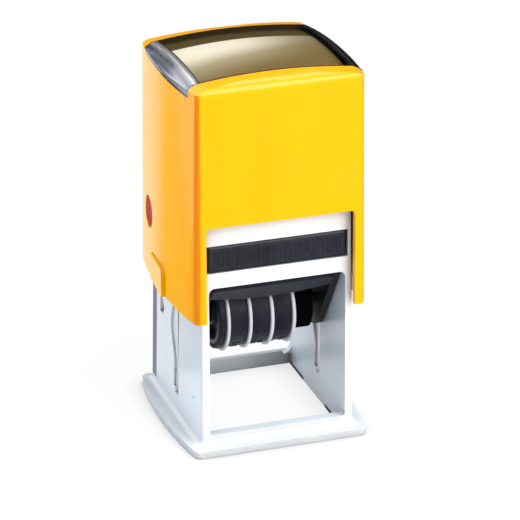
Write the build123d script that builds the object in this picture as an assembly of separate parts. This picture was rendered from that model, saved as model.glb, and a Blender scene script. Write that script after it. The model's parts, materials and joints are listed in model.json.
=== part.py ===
from build123d import *
from math import acos, atan2, degrees, radians, sin, sqrt, tan
import os

# Self-inking flip-platen date stamp. Millimetres, +Z up, front towards -Y.
# The origin is the middle of the base plate's underside. The stamp is drawn at rest, with the cap up.

# ---- Motion -------------------------------------------------------------------------------------
STROKE = 30.5              # how far the cap travels down
FACE_REACH = 8.0           # from the flip axle to the printing face

# ---- Cap ----------------------------------------------------------------------------------------
CAP_WIDTH = 42.0           # corner to corner at the reference height
CAP_DEPTH = 44.3
CAP_REF = 25.0             # reference height, measured up from the cap's lower edge
CAP_DRAFT = 0.74           # degrees
CAP_BULGE = 2.0            # how far each side bows out between its corners
CAP_CORNER = 1.8
CAP_SIDE_WALL = 1.5
CAP_FRONT_WALL = 1.8
CAP_BACK_WALL = 1.1
AXLE_ABOVE_SKIRT = 3.5     # flip axle above the cap's lower edge
LEG_WIDTH = 2.7            # cap's front face left beside the cut-out, at its lower edge
CUTOUT_CORNER = 1.2
CUTOUT_LIFT = 0.9          # cut-out's top edge above the frame's top edge
CEILING_GAP = 0.9          # left over the frame when the cap is down
ROOF = 6.1                 # ceiling to crest
CROWN_RADIUS = 130.0       # of the crown's arch from front to back
CROWN_Y = -5.0             # where that arch is highest
CROWN_SWEEP = 18.0         # degrees of arch drawn to each side of that place
SHOULDER_IN = 1.35         # crown's crease in from the cap's corners
CROWN_DROP = 1.3           # crest to shoulder
SIDE_TURN_DROP = 4.6       # how far the round side falls below the shoulder
FRONT_EDGE_RADIUS = 3.6
BACK_EDGE_RADIUS = 2.4
FRONT_RAIL = 4.3
BACK_RAIL = 4.2
BOSS_RAISE = (1.0, 0.35)   # of the boss over the flip pin, at its front and back ends
BOSS_Y = (-3.6, 9.0)       # front and back ends
BOSS_TOP = 7.0             # above the cap's lower edge
BOSS_CORNER = 1.6
BOSS_EDGE = 0.3            # fillet round its outer face
BOSS_BACKING = 1.5         # pad on the inside, round the boss
PIN_COVER = 1.3            # cap's wall left outside the flip pin's end, without the boss

# ---- Window and card ----------------------------------------------------------------------------
WINDOW_THICK = 1.3
WINDOW_SIDE_DROP = 5.1     # crest to the window's lower edge on each side
CARD_THICK = 0.4
CARD_MARGIN = 0.6

# ---- Base frame ---------------------------------------------------------------------------------
FRAME_DRAFT = 1.0          # degrees
SIDE_GAP = 0.27            # frame to cap when the cap is down
FRONT_GAP = 0.6
BACK_GAP = 0.3
FRAME_SIDE_WALL = 1.6
FRAME_FRONT_WALL = 1.8
FRAME_BACK_WALL = 1.0
FRAME_FRONT_CORNER = 1.3
FRAME_BACK_CORNER = 0.7
SILL = 4.4                 # lower edge of the hand opening at the front
BACK_SILL = 3.7            # the sill at the back lies behind the frame's back wall
BACK_SILL_OUT = 0.25       # that sill's inner face behind the frame's outside
BACK_SILL_THICK = 1.4
BACK_SILL_CORNER = 3.0
STRIP_WIDTH = 3.2          # slide strip down each back corner, along the depth
STRIP_THICK = 0.9
POST_WIDTH = 2.35          # frame's front face left beside the hand opening
WINDOW_CORNER = 1.5
BAR_HEIGHT = 3.9           # frame bar between the hand opening and the tray slot
DECK_THICK = 1.05
TUB_HEIGHT = 3.9
FLANGE_THICK = 1.85
FLANGE_OUT_X = 0.35        # flange beyond the cap's lower edge
FLANGE_OUT_Y = 0.85
COVE_GAP = 1.05            # cap's lower edge above the cove when it is down
FOOT_THICK = 0.9
FOOT_WIDTH = 2.6
FOOT_MARGIN = 2.3          # foot strip to the flange's front or back edge
FOOT_FRONT_LENGTH = 15.5
FOOT_BACK_LENGTH = 10.3

# ---- Cam slot, lock notch and lock buttons ------------------------------------------------------
PIN_RADIUS = 1.1
SLOT_CLEARANCE = 0.2
CAM_LEDGE = 1.3            # width of the wavy recess beside the slot at its foot
CAM_SWELL = 4.2            # how far it swells out higher up
CAM_DEPTH = 0.55           # of the recess in each face of the frame's wall
LOCK_FROM_BACK = 10.7      # lock button in from the cap's back face
LOCK_ABOVE_SKIRT = 16.2
LOCK_BEFORE_END = 4.5      # cap travel left when the lock meets its notch
NOTCH_RADIUS = 2.05
NOTCH_BACK = 2.5           # notch's flat side behind the middle of the button
NOTCH_FLAT = 1.25          # flat side to the middle of the notch's round front
TIP_GAP = 0.5              # button's tip to the notch, on the radius
BUTTON_RADIUS = 3.85
BUTTON_HOLE_GAP = 0.2
BUTTON_FLANGE = 4.7
BUTTON_FLANGE_THICK = 0.7
BUTTON_TIP = 0.2
BUTTON_POCKET_GAP = 0.3

# ---- Ink tray -----------------------------------------------------------------------------------
TRAY_HEIGHT = 6.65
TRAY_SLOT_WALL = 0.9       # frame's side wall left beside the tray slot
TRAY_SIDE_GAP = 0.45
TRAY_GAP = 0.15
TRAY_SIDE_WALL = 1.3
TRAY_FRONT_WALL = 1.7
TRAY_ROOF = 1.0
TRAY_BEVEL = 0.5
TRAY_ABOVE_FACE = 0.25     # tray's lower rim above the printing face at rest
PAD_CLEARANCE = 0.25       # left under the pad while the platen turns

# ---- Carriage -----------------------------------------------------------------------------------
SWING_GAP = 0.28
ARM_GAP = 0.45
ARM_THICK = 1.6
HUB_RADIUS = 6.5
PLATEN_TOP = 4.5           # above the flip axle
PLATEN_THICK = 2.5
PANEL_THICK = 1.2
PANEL_GAP = 5.0            # panel's lower edge to the thumb discs
PANEL_FOOT_DROP = 2.8      # below the flip axle, at the middle of its bowed lower edge
PANEL_BOW = 1.8
HINGE_CLEARANCE = 0.05
BACKING_THICK = 1.6
DIE_BASE = 1.1
DIE_BORDER = 1.2
DIE_SIDE_GAP = 0.15

# ---- Date unit ----------------------------------------------------------------------------------
WHEEL_COUNT = 4
DISC_RADIUS = 9.9
DISC_THICK = 0.85
DISC_EDGE = 0.3
DISC_TOP_GAP = 2.8         # discs to the platen above them
UNIT_GAP = 1.8             # right arm to the date unit's right cheek
BAND_WIDTH = 4.35
BAND_GAP = 0.185
DISC_STANDOUT = 0.6        # discs stand out past the bands
BAND_THICK = 1.0
NOSE_OUTER = 2.2
DRUM_GAP = 0.3
DRUM_WALL = 1.0
WHEEL_HUB_RADIUS = 3.2
SHAFT_RADIUS = 1.5
FIRST_BAND_WIDTH = 1.5     # the band at the left end is a narrow one
CHEEK_THICK = 0.9
LEFT_HUB = 2.6
RIGHT_BOSS = 5.1           # cheek and boss at the right of the last disc
RIGHT_HUB = 6.9
BRIDGE_HALF = 1.0
OPENING_GAP = 0.45         # bands to the edges of the openings that they pass through

# ---- Return spring ------------------------------------------------------------------------------
SPRING_RADIUS = 7.0        # to the middle of the wire
WIRE = 1.2
COILS = 4.5
SPRING_POCKET = 9.0        # radius of the pocket in the cap's ceiling
SPRING_ROOF = 3.8          # crest to the top of that pocket
GUIDE_RADIUS = 5.4
DECK_GUIDE = 2.0
CAP_GUIDE = 2.6

# ---- Places worked out from the sizes above -----------------------------------------------------
AXLE_Z = STROKE + FACE_REACH
SHAFT_DROP = DISC_RADIUS + DISC_TOP_GAP - (PLATEN_TOP - PLATEN_THICK)
SHAFT_Z = AXLE_Z - SHAFT_DROP
SKIRT_Z = AXLE_Z - AXLE_ABOVE_SKIRT
CAP_DOWN_Z = SKIRT_Z - STROKE
COVE_RADIUS = CAP_DOWN_Z - FLANGE_THICK - COVE_GAP
CAP_REF_Z = SKIRT_Z + CAP_REF
CAP_SLOPE = tan(radians(CAP_DRAFT))
FRAME_SLOPE = tan(radians(FRAME_DRAFT))
SKIRT_HALF_WIDTH = CAP_WIDTH / 2 + CAP_REF * CAP_SLOPE
SKIRT_HALF_DEPTH = CAP_DEPTH / 2 + CAP_REF * CAP_SLOPE
FLANGE_HALF_WIDTH = SKIRT_HALF_WIDTH + FLANGE_OUT_X
FLANGE_HALF_DEPTH = SKIRT_HALF_DEPTH + FLANGE_OUT_Y
CUTOUT_HALF_WIDTH = SKIRT_HALF_WIDTH - LEG_WIDTH
FOOT_FRONT_Y = (FOOT_MARGIN - FLANGE_HALF_DEPTH, FOOT_MARGIN - FLANGE_HALF_DEPTH + FOOT_FRONT_LENGTH)
FOOT_BACK_Y = (FLANGE_HALF_DEPTH - FOOT_MARGIN - FOOT_BACK_LENGTH, FLANGE_HALF_DEPTH - FOOT_MARGIN)
FACE_Z = AXLE_Z + FACE_REACH
TRAY_Z = FACE_Z + TRAY_ABOVE_FACE
SLOT_Z = (TRAY_Z - TRAY_GAP, TRAY_Z + TRAY_HEIGHT + TRAY_GAP)
WINDOW_TOP = SLOT_Z[0] - BAR_HEIGHT
DECK_Z = SLOT_Z[1] + DECK_THICK
FRAME_TOP = DECK_Z + TUB_HEIGHT
CUTOUT_TOP = FRAME_TOP + CUTOUT_LIFT
CEILING_Z = FRAME_TOP + STROKE + CEILING_GAP
CREST_Z = CEILING_Z + ROOF
LOCK_Y = SKIRT_HALF_DEPTH - LOCK_FROM_BACK
LOCK_Z = SKIRT_Z + LOCK_ABOVE_SKIRT
LOCK_TRAVEL = STROKE - LOCK_BEFORE_END
BAND_OUTER = DISC_RADIUS - DISC_STANDOUT
FAR = 200.0                # longer than the whole stamp, for cuts that run right through


def frame_half_width(z):
    """Half width of the frame's outside at a height."""
    return SKIRT_HALF_WIDTH - CAP_SIDE_WALL - SIDE_GAP - (z - CAP_DOWN_Z) * FRAME_SLOPE


def frame_front(z):
    """How far the frame's outside reaches to the front at a height."""
    return SKIRT_HALF_DEPTH - CAP_FRONT_WALL - FRONT_GAP - (z - CAP_DOWN_Z) * FRAME_SLOPE


def frame_back(z):
    """How far the frame's outside reaches to the back at a height."""
    return SKIRT_HALF_DEPTH - CAP_BACK_WALL - BACK_GAP - (z - CAP_DOWN_Z) * FRAME_SLOPE


def cap_half_width(z):
    """Half width of the cap's outside, at its corners, at a height."""
    return SKIRT_HALF_WIDTH - (z - SKIRT_Z) * CAP_SLOPE


def cap_half_depth(z):
    """Half depth of the cap's outside at a height."""
    return SKIRT_HALF_DEPTH - (z - SKIRT_Z) * CAP_SLOPE


def cap_bulge(y):
    """How far the bowed side stands out of its corners at a place along the depth."""
    return CAP_BULGE * (1 - (y / cap_half_depth(CAP_REF_Z)) ** 2)


def band_half_depth(z):
    """Half depth of a band's straight runs at a height between its wheel and its nose."""
    drop = FACE_Z - NOSE_OUTER - SHAFT_Z
    lean = (BAND_OUTER - NOSE_OUTER) / drop
    return (NOSE_OUTER + (FACE_Z - NOSE_OUTER - z) * lean) / sqrt(1 - lean ** 2)


WINDOW_HALF_WIDTH = frame_half_width(SILL) - POST_WIDTH
TRAY_SLOT_HALF_WIDTH = frame_half_width(SLOT_Z[1]) - TRAY_SLOT_WALL
SHOULDER_X = cap_half_width(CREST_Z) - SHOULDER_IN
OPENING_Y = band_half_depth(AXLE_Z + PLATEN_TOP - PLATEN_THICK) + OPENING_GAP
DIE_OPENING_Y = band_half_depth(AXLE_Z + PLATEN_TOP) + OPENING_GAP
PANEL_FOOT_Y = sqrt((DISC_RADIUS + PANEL_GAP) ** 2 - (SHAFT_DROP - PANEL_FOOT_DROP) ** 2)
SWING = frame_front(AXLE_Z) - FRAME_FRONT_WALL - SWING_GAP
PLATEN_HALF_DEPTH = sqrt(SWING ** 2 - PLATEN_TOP ** 2)
DIE_HALF_DEPTH = sqrt(SWING ** 2 - FACE_REACH ** 2)
ARM_OUTER = frame_half_width(AXLE_Z + PLATEN_TOP) - FRAME_SIDE_WALL - ARM_GAP
ARM_INNER = ARM_OUTER - ARM_THICK
DIE_HALF_WIDTH = ARM_INNER - DIE_SIDE_GAP
PITCH = DISC_THICK + BAND_WIDTH + 2 * BAND_GAP
UNIT_RIGHT = ARM_INNER - UNIT_GAP
LAST_DISC_X = UNIT_RIGHT - RIGHT_BOSS - BAND_GAP - DISC_THICK / 2
DISC_XS = [LAST_DISC_X - (WHEEL_COUNT - 1 - n) * PITCH for n in range(WHEEL_COUNT)]
BAND_WIDTHS = [FIRST_BAND_WIDTH] + [BAND_WIDTH] * (WHEEL_COUNT - 1)
UNIT_LEFT = DISC_XS[0] - DISC_THICK / 2 - 2 * BAND_GAP - FIRST_BAND_WIDTH - CHEEK_THICK
UNIT_SPAN = (UNIT_LEFT, UNIT_RIGHT)


def die_rise():
    """How far the die's edge rises above its resting height while the platen turns over.

    The axle falls by STROKE over half a turn, and the edge climbs on a circle of radius SWING.
    """
    fall = STROKE / radians(180)
    start = atan2(FACE_REACH, DIE_HALF_DEPTH)
    top = acos(fall / SWING)
    return SWING * sin(top) - fall * (top - start) - FACE_REACH


PAD_Z = FACE_Z + die_rise() + PAD_CLEARANCE


# ---- Shape helpers ------------------------------------------------------------------------------
def block(x, y, z):
    """A box between two places on each axis."""
    size = [high - low for low, high in (x, y, z)]
    middle = [(high + low) / 2 for low, high in (x, y, z)]
    return Pos(*middle) * Box(*size)


def rod_x(radius, x, y, z):
    """A cylinder that lies along X between two places."""
    return Pos((x[0] + x[1]) / 2, y, z) * Rot(0, 90, 0) * Cylinder(radius, x[1] - x[0])


def plate_x(outline, x):
    """An outline drawn in Y and Z, thickened along X between two places."""
    return extrude(Plane.YZ.offset(x[0]) * outline, x[1] - x[0])


def plate_y(outline, y):
    """An outline drawn in X and Z, thickened along Y between two places."""
    return extrude(Plane.XZ.offset(-y[1]) * outline, y[1] - y[0])


def bowed_plan(half_width, half_depth, bulge):
    """A rectangle in plan whose two sides bow out as arcs."""
    front = Line((-half_width, -half_depth), (half_width, -half_depth))
    back = Line((half_width, half_depth), (-half_width, half_depth))
    if bulge == 0:
        right = Line(front @ 1, back @ 0)
        left = Line(back @ 1, front @ 0)
    else:
        right = ThreePointArc(front @ 1, (half_width + bulge, 0), back @ 0)
        left = ThreePointArc(back @ 1, (-half_width - bulge, 0), front @ 0)
    return make_face([front, right, back, left])


def rounded_plan(half_width, half_depth, bulge, front_radius, back_radius):
    """The same rectangle with its front and back corners rounded."""
    plan = bowed_plan(half_width, half_depth, bulge)
    if front_radius > 0:
        plan = fillet(plan.vertices().filter_by(lambda v: v.Y < 0), front_radius)
    if back_radius > 0:
        plan = fillet(plan.vertices().filter_by(lambda v: v.Y > half_depth - 0.001), back_radius)
    return plan


def drafted(plan, low, high, draft):
    """A plan raised from one height to another, drawing in by the draft angle."""
    return extrude(Pos(0, 0, low) * plan, high - low, taper=draft)


def both_sides(piece):
    """A piece and its mirror image across the middle of the stamp."""
    return piece + mirror(piece, about=Plane.YZ)


def rounded_gate(half_width, low, high, radius):
    """An upright rectangle with its two top corners rounded, drawn in X and Z."""
    gate = Pos(0, (low + high) / 2) * Rectangle(2 * half_width, high - low)
    return fillet(gate.vertices().group_by(Axis.Y)[-1], radius)


# ---- Cap ----------------------------------------------------------------------------------------
def crown_outline(inset):
    """The cap's crown in X and Z, drawn in: a shallow arch, a crease and a round side each way."""
    shoulder = (SHOULDER_X - 0.3 * inset, CREST_Z - CROWN_DROP - inset)
    side = (cap_half_width(CREST_Z) + CAP_BULGE + 1.0 - inset, shoulder[1] - SIDE_TURN_DROP)
    turn = ((shoulder[0] + side[0]) / 2 + 0.15, shoulder[1] - 0.29 * SIDE_TURN_DROP)
    arch = ThreePointArc((-shoulder[0], shoulder[1]), (0, CREST_Z - inset), shoulder)
    right = ThreePointArc(shoulder, turn, side)
    left = ThreePointArc((-side[0], side[1]), (-turn[0], turn[1]), (-shoulder[0], shoulder[1]))
    skirt = Polyline(side, (side[0], SKIRT_Z), (-side[0], SKIRT_Z), (-side[0], side[1]))
    return make_face([arch, right, left, skirt])


def crown_solid(inset):
    """The crown's outline swept along its arch from front to back."""
    centre = Pos(0, CROWN_Y, CREST_Z - CROWN_RADIUS)
    face = Plane.XZ * Pos(0, CROWN_RADIUS - CREST_Z) * crown_outline(inset)
    return centre * revolve(Rot(-CROWN_SWEEP, 0, 0) * face, axis=Axis.X,
                            revolution_arc=2 * CROWN_SWEEP)


def crown_inside(inset):
    """The crown drawn in by a thickness, standing on a ledge at the window's lower edge."""
    return crown_solid(inset) + block((-FAR, FAR), (-FAR, FAR), (0, CREST_Z - WINDOW_SIDE_DROP))


def crown_height(y):
    """Height of the crown's ridge at a place along the depth."""
    return CREST_Z - CROWN_RADIUS + sqrt(CROWN_RADIUS ** 2 - (y - CROWN_Y) ** 2)


def profile_outline():
    """The cap's side view in Y and Z, with its front and back top edges rounded."""
    reach = cap_half_depth(CREST_Z)
    front = (-reach, crown_height(-reach))
    back = (reach, crown_height(reach))
    ridge = ThreePointArc(front, (CROWN_Y, CREST_Z), back)
    rest = Polyline(back, (reach + 1.0, SKIRT_Z), (-reach - 1.0, SKIRT_Z), front)
    outline = make_face([ridge, rest])
    outline = fillet(outline.vertices().sort_by_distance((*front, 0))[0], FRONT_EDGE_RADIUS)
    return fillet(outline.vertices().sort_by_distance((*back, 0))[0], BACK_EDGE_RADIUS)


def cap_form():
    """The cap's whole outside as one solid."""
    plan = rounded_plan(SKIRT_HALF_WIDTH, SKIRT_HALF_DEPTH, CAP_BULGE, CAP_CORNER, CAP_CORNER)
    body = drafted(plan, SKIRT_Z, CREST_Z + 1, CAP_DRAFT)
    body -= block((-FAR, FAR), (-FAR, FAR), (CREST_Z - 12, CREST_Z + 2)) - crown_solid(0)
    return body & plate_x(profile_outline(), (-FAR, FAR))


def window_span():
    """Front and back ends of the window along Y."""
    return (FRONT_RAIL - cap_half_depth(CREST_Z), cap_half_depth(CREST_Z) - BACK_RAIL)


def window_bed():
    """What is taken off the cap's top for the window and its card."""
    front, back = window_span()
    lid = block((-FAR, FAR), (front, back), (CEILING_Z - 1, CREST_Z + 1))
    return lid - crown_inside(WINDOW_THICK + CARD_THICK + 0.05)


def pin_boss():
    """The raised boss over the right flip pin, standing out most at its front end."""
    inner = SKIRT_HALF_WIDTH - CAP_SIDE_WALL / 2
    reach = [SKIRT_HALF_WIDTH + cap_bulge(y) + rise for y, rise in zip(BOSS_Y, BOSS_RAISE)]
    outline = Pos(sum(BOSS_Y) / 2, SKIRT_Z) * Rectangle(BOSS_Y[1] - BOSS_Y[0], 2 * BOSS_TOP)
    outline = fillet(outline.vertices(), BOSS_CORNER)
    plan = make_face(Polyline((inner, BOSS_Y[0]), (reach[0], BOSS_Y[0]), (reach[1], BOSS_Y[1]),
                              (inner, BOSS_Y[1]), close=True))
    boss = plate_x(outline, (0, FAR)) & extrude(plan, FAR, both=True)
    boss = fillet(boss.faces().sort_by(Axis.X)[-1].edges(), BOSS_EDGE)
    return boss & block((0, FAR), BOSS_Y, (SKIRT_Z, FAR))


def pin_pad():
    """The pad behind the right boss and round the flip pin, flat on its inner side."""
    inner = frame_half_width(CAP_DOWN_Z) + SIDE_GAP / 2
    outer = SKIRT_HALF_WIDTH + CAP_BULGE - CAP_SIDE_WALL / 2
    return block((inner, outer), (BOSS_Y[0] - BOSS_BACKING, BOSS_Y[1] + BOSS_BACKING),
                 (SKIRT_Z, SKIRT_Z + BOSS_TOP + BOSS_BACKING))


def pin_end():
    """Where the flip pin's outer end stops in the cap, along X."""
    return cap_half_width(AXLE_Z) + CAP_BULGE - PIN_COVER


def cap_shell():
    """The yellow outer cap that the hand presses."""
    form = cap_form()
    plan = rounded_plan(SKIRT_HALF_WIDTH - CAP_SIDE_WALL,
                        SKIRT_HALF_DEPTH - (CAP_FRONT_WALL + CAP_BACK_WALL) / 2, CAP_BULGE, 0.6, 0.6)
    plan = Pos(0, (CAP_FRONT_WALL - CAP_BACK_WALL) / 2) * plan
    shell = form - drafted(plan, SKIRT_Z, CEILING_Z, CAP_DRAFT)
    shell -= plate_y(rounded_gate(CUTOUT_HALF_WIDTH, SKIRT_Z - 1, CUTOUT_TOP, CUTOUT_CORNER),
                     (-FAR, FAR))
    shell -= window_bed()
    shell += both_sides(pin_pad()) & form
    shell += both_sides(pin_boss())
    shell -= rod_x(PIN_RADIUS, (-pin_end(), pin_end()), 0, AXLE_Z)
    inner = frame_half_width(CAP_DOWN_Z)
    shell -= both_sides(rod_x(BUTTON_RADIUS + BUTTON_HOLE_GAP, (inner, FAR / 4), LOCK_Y, LOCK_Z))
    pocket = rod_x(BUTTON_FLANGE + BUTTON_POCKET_GAP, (inner, button_seat()), LOCK_Y, LOCK_Z)
    shell -= both_sides(pocket)
    guide_top = CREST_Z - SPRING_ROOF
    shell -= Pos(0, 0, (CEILING_Z + guide_top) / 2) * Cylinder(SPRING_POCKET, guide_top - CEILING_Z)
    return shell + Pos(0, 0, guide_top - CAP_GUIDE / 2) * Cylinder(GUIDE_RADIUS, CAP_GUIDE)


def index_window():
    """The clear window that wraps over the crown from side to side."""
    front, back = window_span()
    slab = cap_form() & block((-FAR, FAR), (front + 0.05, back - 0.05), (SKIRT_Z, FAR))
    return slab - crown_inside(WINDOW_THICK)


def index_card():
    """The paper card that lies under the window."""
    front, back = window_span()
    reach = SHOULDER_X - CARD_MARGIN
    card = block((-reach, reach), (front + CARD_MARGIN, back - CARD_MARGIN), (SKIRT_Z, FAR))
    return (card & crown_inside(WINDOW_THICK + 0.05)) - crown_inside(WINDOW_THICK + CARD_THICK + 0.05)


# ---- Lock buttons -------------------------------------------------------------------------------
def button_seat():
    """Where the button's flange bears on the cap's wall, along X."""
    return cap_half_width(LOCK_Z) + cap_bulge(LOCK_Y + BUTTON_FLANGE) - 0.8


def button_face():
    """Where the button's outer face ends, along X."""
    return cap_half_width(LOCK_Z) + cap_bulge(LOCK_Y + BUTTON_RADIUS) - 0.1


def lock_button():
    """The right lock button: a round head, a flange behind the wall and a locking tip."""
    seat = button_seat() - 0.05
    head = rod_x(BUTTON_RADIUS, (seat - 0.1, button_face()), LOCK_Y, LOCK_Z)
    head = fillet(head.edges().sort_by(Axis.X)[-1], 0.4)
    flange = rod_x(BUTTON_FLANGE, (seat - BUTTON_FLANGE_THICK, seat), LOCK_Y, LOCK_Z)
    tip_end = seat - BUTTON_FLANGE_THICK - BUTTON_TIP
    tip = rod_x(NOTCH_RADIUS - TIP_GAP, (tip_end, seat), LOCK_Y + NOTCH_BACK - NOTCH_RADIUS + 0.4,
                LOCK_Z)
    return head + flange + tip


# ---- Base frame ---------------------------------------------------------------------------------
def frame_plan(z, side, front, back, front_radius, back_radius):
    """The frame's plan at a height, drawn in by its side, front and back walls."""
    low = front - frame_front(z)
    high = frame_back(z) - back
    plan = rounded_plan(frame_half_width(z) - side, (high - low) / 2, 0, front_radius, back_radius)
    return Pos(0, (high + low) / 2) * plan


def frame_hollow(low, high):
    """The space inside the frame's walls between two heights, with upright sides."""
    plan = frame_plan(high, FRAME_SIDE_WALL, FRAME_FRONT_WALL, FRAME_BACK_WALL, 0.8, 0.8)
    return extrude(Pos(0, 0, low) * plan, high - low)


def frame_sides(inset):
    """The frame's body drawn in at its two sides only, running on past its front and back."""
    return drafted(frame_plan(0, inset, -1, -1, 0, 0), 0, FRAME_TOP, FRAME_DRAFT)


def cam_recess():
    """The wavy recess in the outer and the inner face of each side wall."""
    inner = frame_half_width(SLOT_Z[0]) - FRAME_SIDE_WALL + CAM_DEPTH
    wave = plate_x(cam_wave(), (-FAR, FAR))
    return (wave - frame_sides(CAM_DEPTH)) + (wave & block((-inner, inner), (-FAR, FAR), (0, FAR)))


def back_corners(walls):
    """The upright corners of the frame's back that the slide strips fill."""
    inner = frame_half_width(SLOT_Z[0]) - STRIP_THICK
    front = frame_back(SLOT_Z[0]) - STRIP_WIDTH
    corner = block((inner, FAR), (front, FAR), (FLANGE_THICK + COVE_RADIUS, SLOT_Z[0]))
    return walls & both_sides(corner)


def back_sill():
    """The low sill that closes the base at the back, standing on the flange."""
    inner = frame_back(0) + BACK_SILL_OUT
    width = frame_half_width(0) - 0.4
    bar = block((-width, width), (frame_back(0) - 1, inner + BACK_SILL_THICK), (0, BACK_SILL))
    return fillet(bar.edges().filter_by(Axis.Z).group_by(Axis.Y)[-1], 1.2)


def frame_walls():
    """The frame's outside, without its flange, as one solid."""
    return drafted(frame_plan(0, 0, 0, 0, FRAME_FRONT_CORNER, FRAME_BACK_CORNER), 0, FRAME_TOP,
                   FRAME_DRAFT)


def cam_channel():
    """The straight channel that the flip pins run in."""
    half = PIN_RADIUS + SLOT_CLEARANCE
    low = FACE_REACH - half
    high = AXLE_Z + half + 0.1
    return Pos(0, (low + high) / 2) * Rectangle(2 * half, high - low)


def cam_wave():
    """The wavy recess that swells out behind the channel."""
    half = PIN_RADIUS + SLOT_CLEARANCE
    low = FACE_REACH - half
    rise = AXLE_Z - FACE_REACH + 2 * half + 0.1
    foot = low + 0.04 * rise
    wave = Spline((half + CAM_LEDGE, foot), (half + CAM_LEDGE, low + 0.27 * rise),
                  (half + 0.84 * CAM_SWELL, low + 0.44 * rise),
                  (half + 0.97 * CAM_SWELL, low + 0.52 * rise),
                  (half + 0.35 * CAM_SWELL, low + 0.72 * rise), (half, low + 0.86 * rise),
                  tangents=((0, 1), (0, 1)))
    edge = Polyline(wave @ 1, (0, low + 0.86 * rise), (0, foot), wave @ 0)
    return make_face([wave, edge])


def lock_notch():
    """The notch, flat at the back and round at the front, that the lock button's tip drops into."""
    flat = LOCK_Y + NOTCH_BACK
    z = LOCK_Z - LOCK_TRAVEL
    straight = Pos(flat - NOTCH_FLAT / 2, z) * Rectangle(NOTCH_FLAT, 2 * NOTCH_RADIUS)
    disc = Pos(flat - NOTCH_FLAT, z) * Circle(NOTCH_RADIUS)
    return straight + disc - Pos(flat + FAR / 2, z) * Rectangle(FAR, FAR)


def hand_opening(sill, sill_corner):
    """The big opening in the frame's front or back, drawn in X and Z."""
    gate = Pos(0, (sill + WINDOW_TOP) / 2) * Rectangle(2 * WINDOW_HALF_WIDTH, WINDOW_TOP - sill)
    gate = fillet(gate.vertices().group_by(Axis.Y)[-1], WINDOW_CORNER)
    return fillet(gate.vertices().group_by(Axis.Y)[0], sill_corner)


def foot_recess(y):
    """The seat of one foot strip under the right side of the base."""
    inner = frame_half_width(0) - FRAME_SIDE_WALL
    return block((inner, inner + FOOT_WIDTH), y, (0, FOOT_THICK))


def base_frame():
    """The white frame that stands on the paper and carries everything else."""
    flange_plan = rounded_plan(FLANGE_HALF_WIDTH, FLANGE_HALF_DEPTH, CAP_BULGE, CAP_CORNER,
                               CAP_CORNER)
    frame = drafted(flange_plan, 0, FLANGE_THICK, FRAME_DRAFT) + frame_walls()
    seam = frame.edges().filter_by(
        lambda e: abs(e.center().Z - FLANGE_THICK) < 0.01
        and abs(e.center().Y) < frame_back(0) + 0.2
        and abs(e.center().X) < frame_half_width(0) + 0.2)
    frame = fillet(seam, COVE_RADIUS) + back_sill()
    frame -= back_corners(frame_walls())
    frame -= frame_hollow(0, SLOT_Z[0])
    inner = frame_half_width(SLOT_Z[0]) - FRAME_SIDE_WALL
    frame -= block((-inner, inner), (0, frame_back(0) + BACK_SILL_OUT), (-1, BACK_SILL + 0.1))
    frame -= block((-TRAY_SLOT_HALF_WIDTH, TRAY_SLOT_HALF_WIDTH), (-FAR, FAR), SLOT_Z)
    frame -= frame_hollow(DECK_Z, FRAME_TOP + 1)
    frame -= plate_y(hand_opening(SILL, 0.6), (-FAR, 0))
    frame -= plate_y(hand_opening(BACK_SILL, BACK_SILL_CORNER), (0, FAR))
    frame -= plate_x(cam_channel(), (-FAR, FAR))
    frame -= cam_recess()
    frame -= plate_x(lock_notch(), (-FAR, FAR))
    for y in (FOOT_FRONT_Y, FOOT_BACK_Y):
        frame -= both_sides(foot_recess(y))
    return frame + Pos(0, 0, DECK_Z + DECK_GUIDE / 2) * Cylinder(GUIDE_RADIUS, DECK_GUIDE)


# ---- Ink tray -----------------------------------------------------------------------------------
def tray_ends(inset):
    """Front and back ends of the tray, flush with the frame, drawn in by an amount."""
    top = TRAY_Z + TRAY_HEIGHT
    return (inset - frame_front(top), frame_back(top) - inset)


def pad_tray():
    """The slide-out tray that holds the ink pad face down."""
    width = TRAY_SLOT_HALF_WIDTH - TRAY_SIDE_GAP
    top = TRAY_Z + TRAY_HEIGHT
    tray = block((-width, width), tray_ends(0), (TRAY_Z, top))
    ends = tray.faces().filter_by(Axis.Y)
    tray = chamfer(ends.edges(), TRAY_BEVEL)
    return tray - block((TRAY_SIDE_WALL - width, width - TRAY_SIDE_WALL),
                        tray_ends(TRAY_FRONT_WALL), (TRAY_Z - 1, top - TRAY_ROOF))


def ink_pad():
    """The foam pad, held up in the tray clear of the turning platen."""
    width = TRAY_SLOT_HALF_WIDTH - TRAY_SIDE_GAP - TRAY_SIDE_WALL
    return block((-width, width), tray_ends(TRAY_FRONT_WALL),
                 (PAD_Z, TRAY_Z + TRAY_HEIGHT - TRAY_ROOF))


# ---- Carriage -----------------------------------------------------------------------------------
def arm_outline():
    """One side arm in Y and Z: wide at the platen, drawn in to a round hub at the shaft."""
    top = AXLE_Z + PLATEN_TOP
    rim = Polyline((-PLATEN_HALF_DEPTH, top - 1.5), (-PLATEN_HALF_DEPTH, top),
                   (PLATEN_HALF_DEPTH, top), (PLATEN_HALF_DEPTH, top - 1.5))
    hub = CenterArc((0, SHAFT_Z), HUB_RADIUS, 0, 360)
    return make_hull(rim.edges() + hub.edges())


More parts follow.
